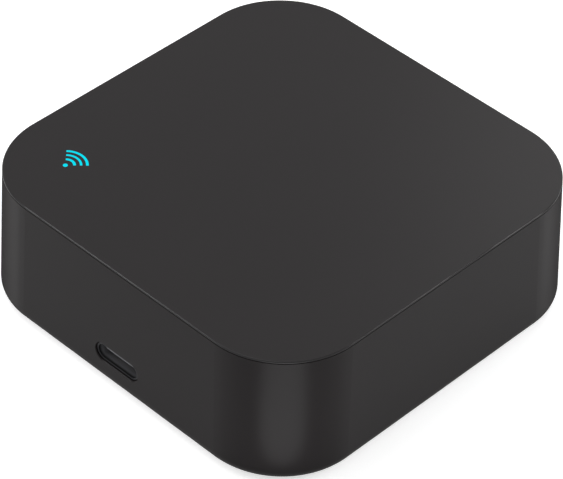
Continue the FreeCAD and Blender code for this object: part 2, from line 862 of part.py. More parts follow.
def make_receiver():
    """A moulded receiver that stands on its leads, its round lens looking out at the front."""
    x, y = receiver_place
    low = board_top + receiver_clearance
    body = moulded_body((receiver_width, receiver_thickness, receiver_height), x, y, low)
    centre = Vector(x, y - receiver_thickness / 2, low + receiver_lens_height)
    lens = Part.makeSphere(receiver_lens_radius, centre)
    return body.fuse(lens).removeSplitter()


def make_receiver_leads():
    x, y = receiver_place
    height = receiver_clearance + board_thickness + lead_tail
    return Part.makeCompound([
        centred_box((wire, wire, height), x + step * receiver_pitch, y, board_bottom - lead_tail)
        for step in (-1, 0, 1)])


def make_radio_board():
    x, y = radio_place
    size = (radio_width, radio_length, radio_board_thickness)
    board = centred_box(size, x, y, board_top)
    notches = []
    for side in (-1, 1):
        for number in range(radio_pads):
            pad_y = y - radio_length / 2 + radio_pad_edge + number * radio_pad_pitch
            notches.append(cylinder(radio_pad_radius, x + side * radio_width / 2, pad_y,
                                    board_top, board_top + radio_board_thickness))
    return board.cut(notches)


def make_radio_shield():
    """A drawn steel can, open below, over the chips of the radio module."""
    x, y = radio_place
    low = board_top + radio_board_thickness
    centre_y = y - radio_length / 2 + shield_edge_gap + shield_length / 2
    can = centred_box((shield_width, shield_length, shield_height), x, centre_y, low)
    can = can.makeFillet(shield_corner, upright_edges(can))
    can = can.makeFillet(shield_top_radius, edges_at(can, low + shield_height))
    hollow = centred_box((shield_width - 2 * shield_sheet, shield_length - 2 * shield_sheet,
                          shield_height - shield_sheet), x, centre_y, low)
    return can.cut(hollow.makeFillet(shield_corner - shield_sheet, upright_edges(hollow)))


def make_radio_antenna():
    """The module's printed antenna: a track that runs to and fro beside the shield."""
    x, y = radio_place
    low = board_top + radio_board_thickness
    top = y + radio_length / 2 - antenna_edge_gap
    left = x - (antenna_turns * antenna_pitch) / 2
    half = antenna_track / 2
    tracks = []
    for number in range(antenna_turns + 1):
        column = left + number * antenna_pitch
        tracks.append(box(column - half, column + half, top - antenna_depth, top, low, low + antenna_sheet))
    for number in range(antenna_turns):
        column = left + number * antenna_pitch
        edge = top - half if number % 2 == 0 else top - antenna_depth + half
        tracks.append(box(column, column + antenna_pitch, edge - half, edge + half, low, low + antenna_sheet))
    return tracks[0].fuse(tracks[1:]).removeSplitter()


def make_capacitor_can():
    x, y = capacitor_place
    low = board_top + capacitor_base_height
    high = deck_bottom - capacitor_headroom
    r = capacitor_radius
    waist = low + capacitor_groove_height
    profile = [(0, low), (r, low), (r, waist - capacitor_groove), (r - capacitor_groove, waist),
               (r, waist + capacitor_groove), (r, high - capacitor_edge_radius),
               (r - capacitor_edge_radius, high), (0, high)]
    return revolved(profile, x, y)


def make_capacitor_base():
    x, y = capacitor_place
    base = centred_box((capacitor_base_side, capacitor_base_side, capacitor_base_height), x, y, board_top)
    back_corners = [e for e in upright_edges(base) if e.BoundBox.YMin > y]
    return base.makeChamfer(capacitor_base_chamfer, back_corners)


def make_regulator():
    x, y = regulator_place
    return moulded_body(regulator_size, x, y, board_top)


def make_control_chip():
    x, y = chip_place
    return moulded_body(chip_size, x, y, board_top)


def transistor_places():
    middle = (transistor_count - 1) / 2
    x = transistor_side_inset - board_half
    return [(x, (number - middle) * transistor_spacing) for number in range(transistor_count)]


def make_drive_transistors():
    return Part.makeCompound([moulded_body(transistor_size, x, y, board_top) for x, y in transistor_places()])


def gull_wing(height, length, width):
    """One lead that leaves a package along +X, drops and lies on the board."""
    low = chip_lead_sheet / 2
    shoulder, foot = length * lead_shoulder_share, length * lead_foot_share
    path = [(0, height), (shoulder, height), (foot, low), (length, low)]
    return strip(path, chip_lead_sheet, width)


def leads_along(size, place, length, pitch, count, width, angle):
    """A row of leads down one side of a package, the side that angle points to."""
    lead = gull_wing(size[2] / 2, length, width)
    turned_quarter = angle % 180 == 90
    side = (size[1] if turned_quarter else size[0]) / 2
    row = []
    for number in range(count):
        one = lead.copy()
        one.translate(Vector(side, (number - (count - 1) / 2) * pitch, 0))
        one.rotate(Vector(0, 0, 0), Vector(0, 0, 1), angle)
        one.translate(Vector(place[0], place[1], board_top))
        row.append(one)
    return row


def make_chip_leads():
    """The bent leads of the control chip, the regulator and the drive transistors."""
    group = []
    for angle in (0, 180):
        group += leads_along(chip_size, chip_place, chip_lead_length, chip_pitch, chip_side_lead_count,
                             chip_lead_width, angle)
    group += leads_along(regulator_size, regulator_place, regulator_lead_length, regulator_pitch,
                         regulator_lead_count, power_lead_width, -90)
    group += leads_along(regulator_size, regulator_place, regulator_lead_length, regulator_pitch, 1,
                         power_tab_width, 90)
    for place in transistor_places():
        group += leads_along(transistor_size, place, transistor_lead_length, 2 * transistor_lead_pitch, 2,
                             chip_lead_width, -90)
        group += leads_along(transistor_size, place, transistor_lead_length, transistor_lead_pitch, 1,
                             chip_lead_width, 90)
    return Part.makeCompound(group)


def make_power_inductor():
    x, y = inductor_place
    body = centred_box(inductor_size, x, y, board_top)
    return body.makeFillet(inductor_corner_radius, upright_edges(body))


def make_rectifier_diode():
    x, y = diode_place
    return moulded_body(diode_size, x, y, board_top)


def small_parts(size, lines, count):
    """Small flat parts, all alike, lying on the board in lines along Y."""
    return Part.makeCompound([
        centred_box(size, x, (number - (count - 1) / 2) * small_part_pitch, board_top)
        for x in lines for number in range(count)])


def make_chip_resistors():
    first = resistor_first_inset - board_half
    return small_parts(resistor_size, (first, first + resistor_line_gap), resistor_count)


def make_chip_capacitors():
    first = board_half - small_capacitor_first_inset
    return small_parts(small_capacitor_size, (first, first - small_capacitor_line_gap), small_capacitor_count)


def all_pieces():
    pieces = {
        "top_panel": make_top_panel(),
        "panel_tape": make_panel_tape(),
        "housing": make_housing(),
        "base_plate": make_base_plate(),
        "case_screws": make_case_screws(),
        "board_screws": make_board_screws(),
        "circuit_board": make_circuit_board(),
        "socket_shell": make_socket_shell(),
        "socket_insulator": make_socket_insulator(),
        "socket_contacts": make_socket_contacts(),
        "reset_button": make_reset_button(),
        "switch_body": make_switch_body(),
        "switch_cover": make_switch_cover(),
        "switch_plunger": make_switch_plunger(),
        "switch_dome": make_switch_dome(),
        "switch_legs": make_switch_legs(),
        "light_guide": make_light_guide(),
        "light_sleeve": make_light_sleeve(),
        "status_lamp": make_status_lamp(),
        "emitter_top": make_top_emitter(),
        "emitter_leads": make_emitter_leads(),
        "receiver": make_receiver(),
        "receiver_leads": make_receiver_leads(),
        "radio_board": make_radio_board(),
        "radio_shield": make_radio_shield(),
        "radio_antenna": make_radio_antenna(),
        "capacitor_can": make_capacitor_can(),
        "capacitor_base": make_capacitor_base(),
        "regulator": make_regulator(),
        "control_chip": make_control_chip(),
        "drive_transistors": make_drive_transistors(),
        "chip_leads": make_chip_leads(),
        "power_inductor": make_power_inductor(),
        "rectifier_diode": make_rectifier_diode(),
        "chip_resistors": make_chip_resistors(),
        "chip_capacitors": make_chip_capacitors(),
    }
    for sx, sy in corners:
        name = "foot_" + ("front" if sy < 0 else "back") + ("_left" if sx < 0 else "_right")
        pieces[name] = make_foot(sx * foot_place, sy * foot_place)
    for name, angle, x, y in side_emitters():
        pieces["emitter_" + name] = make_side_emitter(angle, x, y)
    return pieces


os.makedirs("parts", exist_ok=True)
for piece_name, piece in all_pieces().items():
    piece.exportStep("parts/" + piece_name + ".step")
    print(piece_name, "solids", len(piece.Solids), "valid", piece.isValid(), "volume", round(piece.Volume, 2))
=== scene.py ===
import json
import math

import bmesh
import bpy
from mathutils import Matrix, Vector


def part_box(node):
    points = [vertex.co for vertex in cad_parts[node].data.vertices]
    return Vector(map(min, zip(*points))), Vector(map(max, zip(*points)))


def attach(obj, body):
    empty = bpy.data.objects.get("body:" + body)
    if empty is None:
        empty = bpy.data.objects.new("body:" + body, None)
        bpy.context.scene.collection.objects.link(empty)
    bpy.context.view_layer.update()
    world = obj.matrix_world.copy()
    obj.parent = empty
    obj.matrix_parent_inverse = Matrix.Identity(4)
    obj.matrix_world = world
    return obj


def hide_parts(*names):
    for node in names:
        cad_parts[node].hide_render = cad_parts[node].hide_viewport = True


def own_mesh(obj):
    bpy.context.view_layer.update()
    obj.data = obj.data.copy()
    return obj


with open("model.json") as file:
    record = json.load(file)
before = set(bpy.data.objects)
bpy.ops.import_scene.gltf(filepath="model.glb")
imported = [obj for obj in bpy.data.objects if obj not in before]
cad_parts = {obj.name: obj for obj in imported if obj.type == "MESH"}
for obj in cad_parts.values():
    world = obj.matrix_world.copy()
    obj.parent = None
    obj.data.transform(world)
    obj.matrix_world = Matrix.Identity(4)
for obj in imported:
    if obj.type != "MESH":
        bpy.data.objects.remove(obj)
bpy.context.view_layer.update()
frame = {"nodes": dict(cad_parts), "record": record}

# A square infrared controller for the home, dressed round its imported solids.
# The frame is in metres, and mm turns millimetres into its unit.
mm = 0.001
nodes = frame["nodes"]
print("frame loaded:", len(nodes), "nodes")


# Helpers for colours, node trees and objects

def toLinear(hexColour):
    # an sRGB hex value as the linear colour that a shader works in
    parts = [int(hexColour[i:i + 2], 16) / 255 for i in (1, 3, 5)]
    return tuple(c / 12.92 if c <= 0.04045 else ((c + 0.055) / 1.055) ** 2.4 for c in parts) + (1.0,)


def addNode(tree, kind, inputs=None, **settings):
    # an input takes a plain value or another node's output, by the socket's name or number
    node = tree.nodes.new(kind)
    for name, value in settings.items():
        setattr(node, name, value)
    for key, value in (inputs or {}).items():
        if isinstance(value, bpy.types.NodeSocket):
            tree.links.new(value, node.inputs[key])
        else:
            node.inputs[key].default_value = value
    return node


def addObject(name, data):
    made = bpy.data.objects.new(name, data)
    bpy.context.scene.collection.objects.link(made)
    return made


def standAt(place, across, rise, back):
    # the matrix of a camera or lamp that looks away from back
    return Matrix.Translation(place) @ Matrix((across, rise, back)).transposed().to_4x4()


def addGrain(tree, shader, place, plan):
    # the fine relief that a mould or a tool leaves: grain is its width and relief its height
    fineness = 1 / (plan["grain"] * mm)
    noise = addNode(tree, "ShaderNodeTexNoise", {"Vector": place, "Scale": fineness, "Detail": 2.0})
    bump = addNode(tree, "ShaderNodeBump", {"Height": noise.outputs[0], "Distance": plan["relief"] * mm,
                                            "Strength": 1.0})
    tree.links.new(bump.outputs[0], shader.inputs["Normal"])


def addMottle(tree, shader, place, plan):
    # slow drifts of colour and gloss, from flow in the mould and from handling
    fineness = 1 / (plan["drift"] * mm)
    noise = addNode(tree, "ShaderNodeTexNoise", {"Vector": place, "Scale": fineness, "Detail": 3.0})
    first, second = [toLinear(tone) for tone in plan["tones"]]
    tone = addNode(tree, "ShaderNodeMix", {0: noise.outputs[0], 6: first, 7: second}, data_type="RGBA")
    smooth, dull = plan["span"]
    gloss = addNode(tree, "ShaderNodeMapRange", {0: noise.outputs[0], 3: smooth, 4: dull})
    tree.links.new(tone.outputs[2], shader.inputs["Base Color"])
    tree.links.new(gloss.outputs[0], shader.inputs["Roughness"])


def makeFinish(plan):
    # one shader on the piece's own coordinates, with the grain and the drifts that the plan names
    material = bpy.data.materials.new(plan["name"])
    material.use_nodes = True
    tree = material.node_tree
    tree.nodes.clear()
    settings = {"Base Color": toLinear(plan["colour"]), "Roughness": plan["roughness"]}
    settings.update(plan.get("shader", {}))
    shader = addNode(tree, "ShaderNodeBsdfPrincipled", settings)
    addNode(tree, "ShaderNodeOutputMaterial", {"Surface": shader.outputs[0]})
    place = addNode(tree, "ShaderNodeTexCoord").outputs["Object"]
    lines = place
    if "drawn" in plan:
        lines = addNode(tree, "ShaderNodeMapping", {"Vector": place, "Scale": plan["drawn"]}).outputs[0]
    if "grain" in plan:
        addGrain(tree, shader, lines, plan)
    if "drift" in plan:
        addMottle(tree, shader, lines if plan.get("driftDrawn") else place, plan)
    return material, tree, shader, place


# The camera: a long lens, high over the rounded front corner

cameraPlan = {
    "azimuth": 43.714,
    "elevation": 41.11,
    "roll": 1.681,
    "distance": 466 * mm,
    "aimHeight": 12.1 * mm,
    "lens": 192.76,
    "sensor": 36.0,
    "shiftX": 0.00055,
    "shiftY": -0.02518,
    "clipStart": 10 * mm,
    "clipEnd": 20.0,
}


def makeCamera(plan):
    azimuth, elevation, roll = [math.radians(plan[key]) for key in ("azimuth", "elevation", "roll")]
    back = Vector((math.sin(azimuth) * math.cos(elevation), -math.cos(azimuth) * math.cos(elevation),
                   math.sin(elevation)))
    right = Vector((math.cos(azimuth), math.sin(azimuth), 0))
    up = back.cross(right)
    across = right * math.cos(roll) + up * math.sin(roll)
    rise = up * math.cos(roll) - right * math.sin(roll)
    data = bpy.data.cameras.new("camera")
    data.lens = plan["lens"]
    data.sensor_width = plan["sensor"]
    data.shift_x = plan["shiftX"]
    data.shift_y = plan["shiftY"]
    data.clip_start = plan["clipStart"]
    data.clip_end = plan["clipEnd"]
    camera = addObject("camera", data)
    eye = Vector((0, 0, plan["aimHeight"])) + back * plan["distance"]
    camera.matrix_world = standAt(eye, across, rise, back)
    bpy.context.scene.camera = camera


makeCamera(cameraPlan)
print("camera placed")


# The studio: a white paper floor, an even white surround and large soft lamps

studio = {
    "floorSide": 6.0,
    "floorGap": 0.02 * mm,
    "floorSeen": 0.62,  # what lifts the paper to white for the eye
    "floorMirrored": 0.52,  # and in a reflection
    "surround": 0.35,  # how strongly the surround lights things
}

# white background paper: matt, with a slight tooth that shows close up
paper = {
    "name": "whitePaperRoll", "colour": "#e6e6e6", "roughness": 0.9, "grain": 1.2, "relief": 0.02,
}

lamps = {
    # place and size are in millimetres, toward is where the lamp shines, and along is its long side
    "overhead": {"place": (-280, -60, 860), "toward": (0, 0, -1), "along": (0, 1, 0),
                 "size": (700, 700), "radiance": 2.0},
    "frontStrip": {"place": (66.8, -63.2, 1), "toward": (0, 0, 1), "along": (0.749, -0.663, 0),
                   "size": (34, 90), "radiance": 2.4},
    "backSoftbox": {"place": (-10, 130, 115), "toward": (0.2, -0.73, -0.6), "along": (0, 0, 1),
                    "size": (110, 110), "radiance": 1.2},
    "leftEdge": {"place": (-155, -198, 163), "toward": (0.516, 0.661, -0.545), "along": (0, 0.64, 0.77),
                 "size": (60, 200), "radiance": 8.5},
    "rightEdge": {"place": (198, 164, 155), "toward": (-0.661, -0.545, -0.516), "along": (-0.614, 0, 0.789),
                  "size": (60, 200), "radiance": 9.5},
}


def seenShare(tree, unseen, mirrored, seen):
    # one value for light that falls on things, one for what gloss and glass show, and one for the eye
    path = addNode(tree, "ShaderNodeLightPath")
    bent = addNode(tree, "ShaderNodeMath", {0: path.outputs["Is Glossy Ray"],
                                            1: path.outputs["Is Transmission Ray"]}, operation="MAXIMUM")
    share = addNode(tree, "ShaderNodeMapRange", {0: bent.outputs[0], 3: unseen, 4: mirrored})
    whole = addNode(tree, "ShaderNodeMapRange", {0: path.outputs["Is Camera Ray"], 3: share.outputs[0],
                                                 4: seen})
    return whole.outputs[0]


def makeFloor(plan):
    half = plan["floorSide"] / 2
    low = -plan["floorGap"]
    mesh = bpy.data.meshes.new("floor")
    corners = [(-half, -half, low), (half, -half, low), (half, half, low), (-half, half, low)]
    mesh.from_pydata(corners, [], [(0, 1, 2, 3)])
    floor = addObject("floor", mesh)
    material, tree, shader = makeFinish(paper)[:3]
    # where it is looked at, the paper is lifted to white, and it keeps the shadow that falls on it
    lift = seenShare(tree, 0, plan["floorMirrored"], plan["floorSeen"])
    glow = addNode(tree, "ShaderNodeEmission", {"Color": (1, 1, 1, 1), "Strength": lift})
    both = addNode(tree, "ShaderNodeAddShader", {0: shader.outputs[0], 1: glow.outputs[0]})
    output = [node for node in tree.nodes if node.type == "OUTPUT_MATERIAL"][0]
    tree.links.new(both.outputs[0], output.inputs[0])
    mesh.materials.append(material)


def makeSurround(plan):
    world = bpy.data.worlds.new("whiteSurround")
    bpy.context.scene.world = world
    world.use_nodes = True
    tree = world.node_tree
    tree.nodes.clear()
    sky = addNode(tree, "ShaderNodeBackground", {"Color": (1, 1, 1, 1),
                                                 "Strength": seenShare(tree, plan["surround"], 1.0, 1.0)})
    addNode(tree, "ShaderNodeOutputWorld", {0: sky.outputs[0]})


def makeLamp(name, plan):
    width, length = [side * mm for side in plan["size"]]
    data = bpy.data.lights.new(name, "AREA")
    data.shape = "ELLIPSE"
    data.size = width
    data.size_y = length
    # the watts that give this radiance: pi times the oval's area
    data.energy = plan["radiance"] * math.pi * width * length * math.pi / 4
    lamp = addObject(name, data)
    back = -Vector(plan["toward"]).normalized()
    across = Vector(plan["along"]).cross(back).normalized()
    lamp.matrix_world = standAt(Vector(plan["place"]) * mm, across, back.cross(across), back)
    lamp.visible_camera = False


makeFloor(studio)
makeSurround(studio)
for name, plan in lamps.items():
    makeLamp(name, plan)
bpy.context.scene.view_settings.view_transform = "Standard"
print("studio lit")


# Finishes. Each starts from what the real material is, and a comment says what that gives the eye.
# All lengths in a finish are in millimetres: the width of its grain, the height of that relief and the size
# of its drifts, which run between two tones and over a span of roughness. Drawn stretches the grain into
# lines along the axis with the small number.

metal = {"Metallic": 1.0}

# nylon or a liquid crystal polymer filled with glass: dull, with the faint streaks of fibres that lie near
# its surface
glassNylon = {
    "roughness": 0.55, "drawn": (1.0, 0.2, 1.0), "grain": 0.05, "relief": 0.0015, "drift": 1.5,
    "span": (0.48, 0.62),
}

# thin stainless or nickel silver, rolled and then stamped or drawn: bright, with lines along the roll
rolledSheet = {
    "shader": metal, "drawn": (0.04, 1.0, 1.0), "grain": 0.05, "relief": 0.0008, "drift": 0.3,
    "driftDrawn": True,
}

# fired ceramic of small chips: even and hard, with a fine sintered grain
firedCeramic = {"grain": 0.04, "relief": 0.001, "drift": 0.5}

plainFinishes = {
    # ABS against a coarser spark texture, as on undersides: duller, with a grain that shows close up
    "base_plastic": {
        "name": "coarseMouldedAbs", "colour": "#1a1a1a", "roughness": 0.6, "grain": 0.3, "relief": 0.012,
        "drift": 9, "tones": ("#181818", "#1e1e1e"), "span": (0.55, 0.68),
        "shader": {"Specular IOR Level": 0.3},
    },
    # double-sided acrylic foam tape: grey white, matt and slightly open
    "tape": {
        "name": "acrylicFoamTape", "colour": "#c9c8c2", "roughness": 0.9, "grain": 0.3, "relief": 0.02,
        "drift": 5, "tones": ("#c2c1ba", "#d2d1cb"), "span": (0.85, 0.98),
    },
    # pressed nitrile rubber: charcoal and dull, with a soft bloom and a little lint
    "foot_rubber": {
        "name": "pressedNitrileRubber", "colour": "#242424", "roughness": 0.85, "grain": 0.2, "relief": 0.008,
        "drift": 3, "tones": ("#212121", "#2b2b2a"), "span": (0.8, 0.92),
        "shader": {"Sheen Weight": 0.15, "Sheen Roughness": 0.6},
    },
    # cold-headed steel, black zinc plated: dark metal with a soft gloss and a fine orange peel
    "screw_steel": {
        "name": "blackZincSteel", "colour": "#3a3b3e", "roughness": 0.36, "grain": 0.15, "relief": 0.002,
        "drift": 1.2, "tones": ("#33343a", "#45443f"), "span": (0.3, 0.46), "shader": metal,
    },
    # a thin gold flash over nickel on the contacts: warm, bright, with fine rolling lines
    "contact_gold": {
        "name": "goldFlashedContact", "colour": "#d8a94a", "roughness": 0.25, "grain": 0.05, "relief": 0.0004,
        "drift": 0.8, "tones": ("#cf9f43", "#e2b65a"), "span": (0.2, 0.32), "shader": metal,
    },
    "socket_plastic": {
        **glassNylon, "name": "greySocketPolymer", "colour": "#7a7a7d", "tones": ("#7a7a7d", "#848487"),
    },
    "switch_plastic": {
        **glassNylon, "name": "blackSwitchNylon", "colour": "#1d1d1e", "tones": ("#1d1d1e", "#28282a"),
    },
    "plunger_plastic": {
        **glassNylon, "name": "amberSwitchNylon", "colour": "#a4622a", "tones": ("#a4622a", "#8f5222"),
    },
    # the reset button's grey ABS, moulded smooth: a soft gloss, a little rubbed in its dish
    "button_plastic": {
        "name": "smoothGreyAbs", "colour": "#6e7072", "roughness": 0.4, "grain": 0.15, "relief": 0.002,
        "drift": 2, "tones": ("#696b6d", "#757779"), "span": (0.34, 0.5),
    },
    "switch_steel": {
        **rolledSheet, "name": "stampedStainless", "colour": "#b9bab8", "roughness": 0.26,
        "tones": ("#b9bab8", "#b9bab8"), "span": (0.2, 0.36),
    },
    "shield_steel": {
        **rolledSheet, "name": "drawnNickelSilver", "colour": "#c4c0b4", "roughness": 0.3,
        "tones": ("#c4c0b4", "#c4c0b4"), "span": (0.24, 0.4),
    },
    # copper or iron leads dipped in tin: pale grey metal, a little clouded
    "tinned_metal": {
        "name": "dippedTin", "colour": "#c2c3c0", "roughness": 0.32, "grain": 0.2, "relief": 0.003,
        "drift": 0.6, "tones": ("#b4b5b3", "#d0d1cd"), "span": (0.25, 0.45), "shader": metal,
    },
    # a white moulded lamp with its clear dome lit: pale, with a cyan glow
    "lamp_resin": {
        "name": "whiteLampResin", "colour": "#e8ecec", "roughness": 0.35, "grain": 0.1, "relief": 0.001,
        "drift": 0.6, "tones": ("#dfe6e6", "#f2f4f4"), "span": (0.3, 0.42),
        "shader": {"Subsurface Weight": 0.2, "Emission Strength": 0.4, "Emission Color": toLinear("#30f0ff")},
    },
    # cast epoxy with a faint blue tint, clear to look into: smooth and glossy, with slight flow swirls
    "emitter_resin": {
        "name": "castBlueEpoxy", "colour": "#9fb4e0", "roughness": 0.08, "grain": 1.5, "relief": 0.01,
        "drift": 2, "tones": ("#93a9da", "#b1c3e8"), "span": (0.05, 0.12),
        "shader": {"Transmission Weight": 0.85, "IOR": 1.55},
    },
    # epoxy dyed to pass infrared alone: black with a deep red cast, polished by its mould
    "receiver_resin": {
        "name": "dyedReceiverEpoxy", "colour": "#170d10", "roughness": 0.15, "grain": 0.8, "relief": 0.004,
        "drift": 2, "tones": ("#140b0e", "#1f1216"), "span": (0.1, 0.2), "shader": {"Coat Weight": 0.3},
    },
    # black epoxy moulding compound: slate black, dull, with fine filler in it
    "chip_resin": {
        "name": "mouldedChipEpoxy", "colour": "#1b1b1d", "roughness": 0.62, "grain": 0.06, "relief": 0.002,
        "drift": 0.8, "tones": ("#18181a", "#222224"), "span": (0.55, 0.7),
    },
    # pressed iron powder under lacquer: mid grey and sandy, with dark grains
    "inductor_ferrite": {
        "name": "pressedIronPowder", "colour": "#4d4d4c", "roughness": 0.55, "grain": 0.1, "relief": 0.008,
        "drift": 0.25, "tones": ("#3f3f3f", "#5c5b59"), "span": (0.5, 0.65),
    },
    "resistor_ceramic": {
        **firedCeramic, "name": "resistorGlaze", "colour": "#16181c", "roughness": 0.3,
        "tones": ("#16181c", "#202327"), "span": (0.24, 0.38),
    },
    "capacitor_ceramic": {
        **firedCeramic, "name": "capacitorCeramic", "colour": "#a08a68", "roughness": 0.5,
        "tones": ("#a08a68", "#8f7a5b"), "span": (0.44, 0.58),
    },
}
finishes = {slot: makeFinish(plan)[0] for slot, plan in plainFinishes.items()}


# black ABS moulded against a fine spark-eroded tool: near black, satin, with a pin-fine grain
satinAbs = {
    "name": "satinMouldedAbs", "colour": "#171415", "roughness": 0.36, "grain": 0.12, "relief": 0.003,
    "drift": 14, "tones": ("#161314", "#191516"), "span": (0.34, 0.38),
    "shader": {"Specular IOR Level": 0.104},
    "near": 0.58, "far": 0.88, "spread": 0.85,  # from where, to where and how far the gloss spreads out
}


def makeSatinAbs(plan):
    material, tree, shader = makeFinish(plan)[:3]
    # seen along the wall the grain shades itself, so the gloss spreads out towards the outline
    facing = addNode(tree, "ShaderNodeLayerWeight", {"Blend": 0.5}).outputs["Facing"]
    fade = addNode(tree, "ShaderNodeMapRange", {0: facing, 1: plan["near"], 2: plan["far"]})
    gloss = shader.inputs["Roughness"].links[0].from_socket
    spread = addNode(tree, "ShaderNodeMix", {0: fade.outputs[0], 2: gloss, 3: plan["spread"]})
    tree.links.new(spread.outputs[0], shader.inputs["Roughness"])
    return material


finishes["housing_plastic"] = makeSatinAbs(satinAbs)


# the panel's ABS, a little glossier, with a painted highlight of lighter grey where its edge rounds over, and
# smoother there
panelAbs = {
    "name": "satinPanelAbs", "colour": "#1a1718", "roughness": 0.38, "grain": 0.12, "relief": 0.003,
    "drift": 14, "tones": ("#191617", "#1b1819"), "span": (0.36, 0.4),
    "shader": {"Specular IOR Level": 0.2},
    "flat": 0.97, "turned": 0.85, "side": 0.3,  # how far up a face looks: the top, its edge and a side
    # the painted highlight's colour along the rounded edge, and the edge's roughness
    "paintedHighlight": "#232223", "smoother": 0.2,
}


def makePanelAbs(plan):
    material, tree, shader = makeFinish(plan)[:3]
    normal = addNode(tree, "ShaderNodeNewGeometry").outputs["Normal"]
    tilt = addNode(tree, "ShaderNodeSeparateXYZ", {0: normal})
    leans = addNode(tree, "ShaderNodeMapRange", {0: tilt.outputs[2], 1: plan["flat"], 2: plan["turned"]})
    faces = addNode(tree, "ShaderNodeMapRange", {0: tilt.outputs[2], 1: 0.0, 2: plan["side"]})
    # the mask of the rounded edge, where the highlight is painted
    edgeHighlightMask = addNode(tree, "ShaderNodeMath", {0: leans.outputs[0], 1: faces.outputs[0]},
                     operation="MULTIPLY")
    # painted highlight: the edge's base colour is mixed toward a lighter grey, and its roughness toward a
    # smoother value
    highlightAndGloss = (("Base Color", "RGBA", 6, 2, toLinear(plan["paintedHighlight"])),
            ("Roughness", "FLOAT", 2, 0, plan["smoother"]))
    for name, kind, first, result, value in highlightAndGloss:
        before = shader.inputs[name].links[0].from_socket
        blend = addNode(tree, "ShaderNodeMix", {0: edgeHighlightMask.outputs[0], first: before, first + 1: value},
                        data_type=kind)
        tree.links.new(blend.outputs[result], shader.inputs[name])
    return material


finishes["panel_plastic"] = makePanelAbs(panelAbs)


# a drawn steel shell under black nickel: a dark metal with faint drawing lines, and painted light past its
# mouth, a paler grey that lifts the shade deep in the slot
blackNickel = {
    "name": "blackNickelSteel", "colour": "#303032", "roughness": 0.5, "drawn": (1.0, 0.05, 1.0),
    "grain": 0.06, "relief": 0.0006, "drift": 2, "tones": ("#2d2d2f", "#343436"), "span": (0.46, 0.54),
    "shader": metal,
    "lip": 0.25, "blend": 0.35,  # how deep the dark mouth goes, and over what depth the painted light comes in
    # the grey of the painted light past the mouth
    "inside": "#89898c",
}


def makeBlackNickel(plan):
    material, tree, shader, place = makeFinish(plan)
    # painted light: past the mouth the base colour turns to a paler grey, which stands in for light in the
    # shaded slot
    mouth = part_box("socket_shell")[0].y + plan["lip"] * mm
    depth = addNode(tree, "ShaderNodeSeparateXYZ", {0: place})
    full = mouth + plan["blend"] * mm
    thin = addNode(tree, "ShaderNodeMapRange", {0: depth.outputs[1], 1: mouth, 2: full})
    plated = shader.inputs["Base Color"].links[0].from_socket
    tone = addNode(tree, "ShaderNodeMix", {0: thin.outputs[0], 6: plated, 7: toLinear(plan["inside"])},
                   data_type="RGBA")
    tree.links.new(tone.outputs[2], shader.inputs["Base Color"])
    return material


finishes["socket_steel"] = makeBlackNickel(blackNickel)


# glass laminate under a green solder mask: glossy, and paler and raised where copper tracks lie below it.
# The tracks run in broken rows, some along the board and some across it, as a router leaves them
solderMask = {
    "name": "greenSolderMask", "colour": "#0b3820", "roughness": 0.28,
    "pitch": 1.1, "width": 0.32,  # from row to row, and the track's share of that
    "run": 7.0, "kept": 0.42,  # how long a stretch is, and the share of stretches that carry a track
    "rise": 0.03, "track": "#1a6339", "peel": 2.0, "peelSpan": (0.22, 0.36),
}


def makeSolderMask(plan):
    material, tree, shader, place = makeFinish(plan)
    rows = []
    for turned in (0.0, math.pi / 2):
        lie = addNode(tree, "ShaderNodeMapping", {"Vector": place, "Rotation": (0.0, 0.0, turned)})
        split = addNode(tree, "ShaderNodeSeparateXYZ", {0: lie.outputs[0]})
        row = addNode(tree, "ShaderNodeMath", {0: split.outputs[1], 1: plan["pitch"] * mm},
                      operation="DIVIDE")
        rowNumber = addNode(tree, "ShaderNodeMath", {0: row.outputs[0]}, operation="FLOOR")
        across = addNode(tree, "ShaderNodeMath", {0: row.outputs[0]}, operation="FRACT")
        line = addNode(tree, "ShaderNodeMath", {0: across.outputs[0], 1: plan["width"]},
                       operation="LESS_THAN")
        run = addNode(tree, "ShaderNodeMath", {0: split.outputs[0], 1: plan["run"] * mm},
                      operation="DIVIDE")
        runNumber = addNode(tree, "ShaderNodeMath", {0: run.outputs[0]}, operation="FLOOR")
        cell = addNode(tree, "ShaderNodeCombineXYZ", {0: rowNumber.outputs[0], 1: runNumber.outputs[0],
                                                      2: turned})
        chance = addNode(tree, "ShaderNodeTexWhiteNoise", {"Vector": cell.outputs[0]},
                         noise_dimensions="3D")
        kept = addNode(tree, "ShaderNodeMath", {0: chance.outputs["Value"], 1: plan["kept"]},
                       operation="LESS_THAN")
        both = addNode(tree, "ShaderNodeMath", {0: line.outputs[0], 1: kept.outputs[0]},
                       operation="MULTIPLY")
        rows.append(both.outputs[0])
    copper = addNode(tree, "ShaderNodeMath", {0: rows[0], 1: rows[1]}, operation="MAXIMUM")
    tone = addNode(tree, "ShaderNodeMix", {0: copper.outputs[0], 6: toLinear(plan["colour"]),
                                           7: toLinear(plan["track"])}, data_type="RGBA")
    bump = addNode(tree, "ShaderNodeBump", {"Height": copper.outputs[0], "Distance": plan["rise"] * mm})
    peel = addNode(tree, "ShaderNodeTexNoise", {"Vector": place, "Scale": 1 / (plan["peel"] * mm)})
    smooth, dull = plan["peelSpan"]
    gloss = addNode(tree, "ShaderNodeMapRange", {0: peel.outputs[0], 3: smooth, 4: dull})
    tree.links.new(tone.outputs[2], shader.inputs["Base Color"])
    tree.links.new(bump.outputs[0], shader.inputs["Normal"])
    tree.links.new(gloss.outputs[0], shader.inputs["Roughness"])
    return material


finishes["board_laminate"] = makeSolderMask(solderMask)


# the radio module's own board, under a black mask: darker, with the weave of its glass just showing
blackMask = {
    "name": "blackSolderMask", "colour": "#15181c", "roughness": 0.3,
    "drift": 4, "tones": ("#13161a", "#1a1e22"), "span": (0.25, 0.36),
    "weave": 0.5, "rise": 0.002,
}

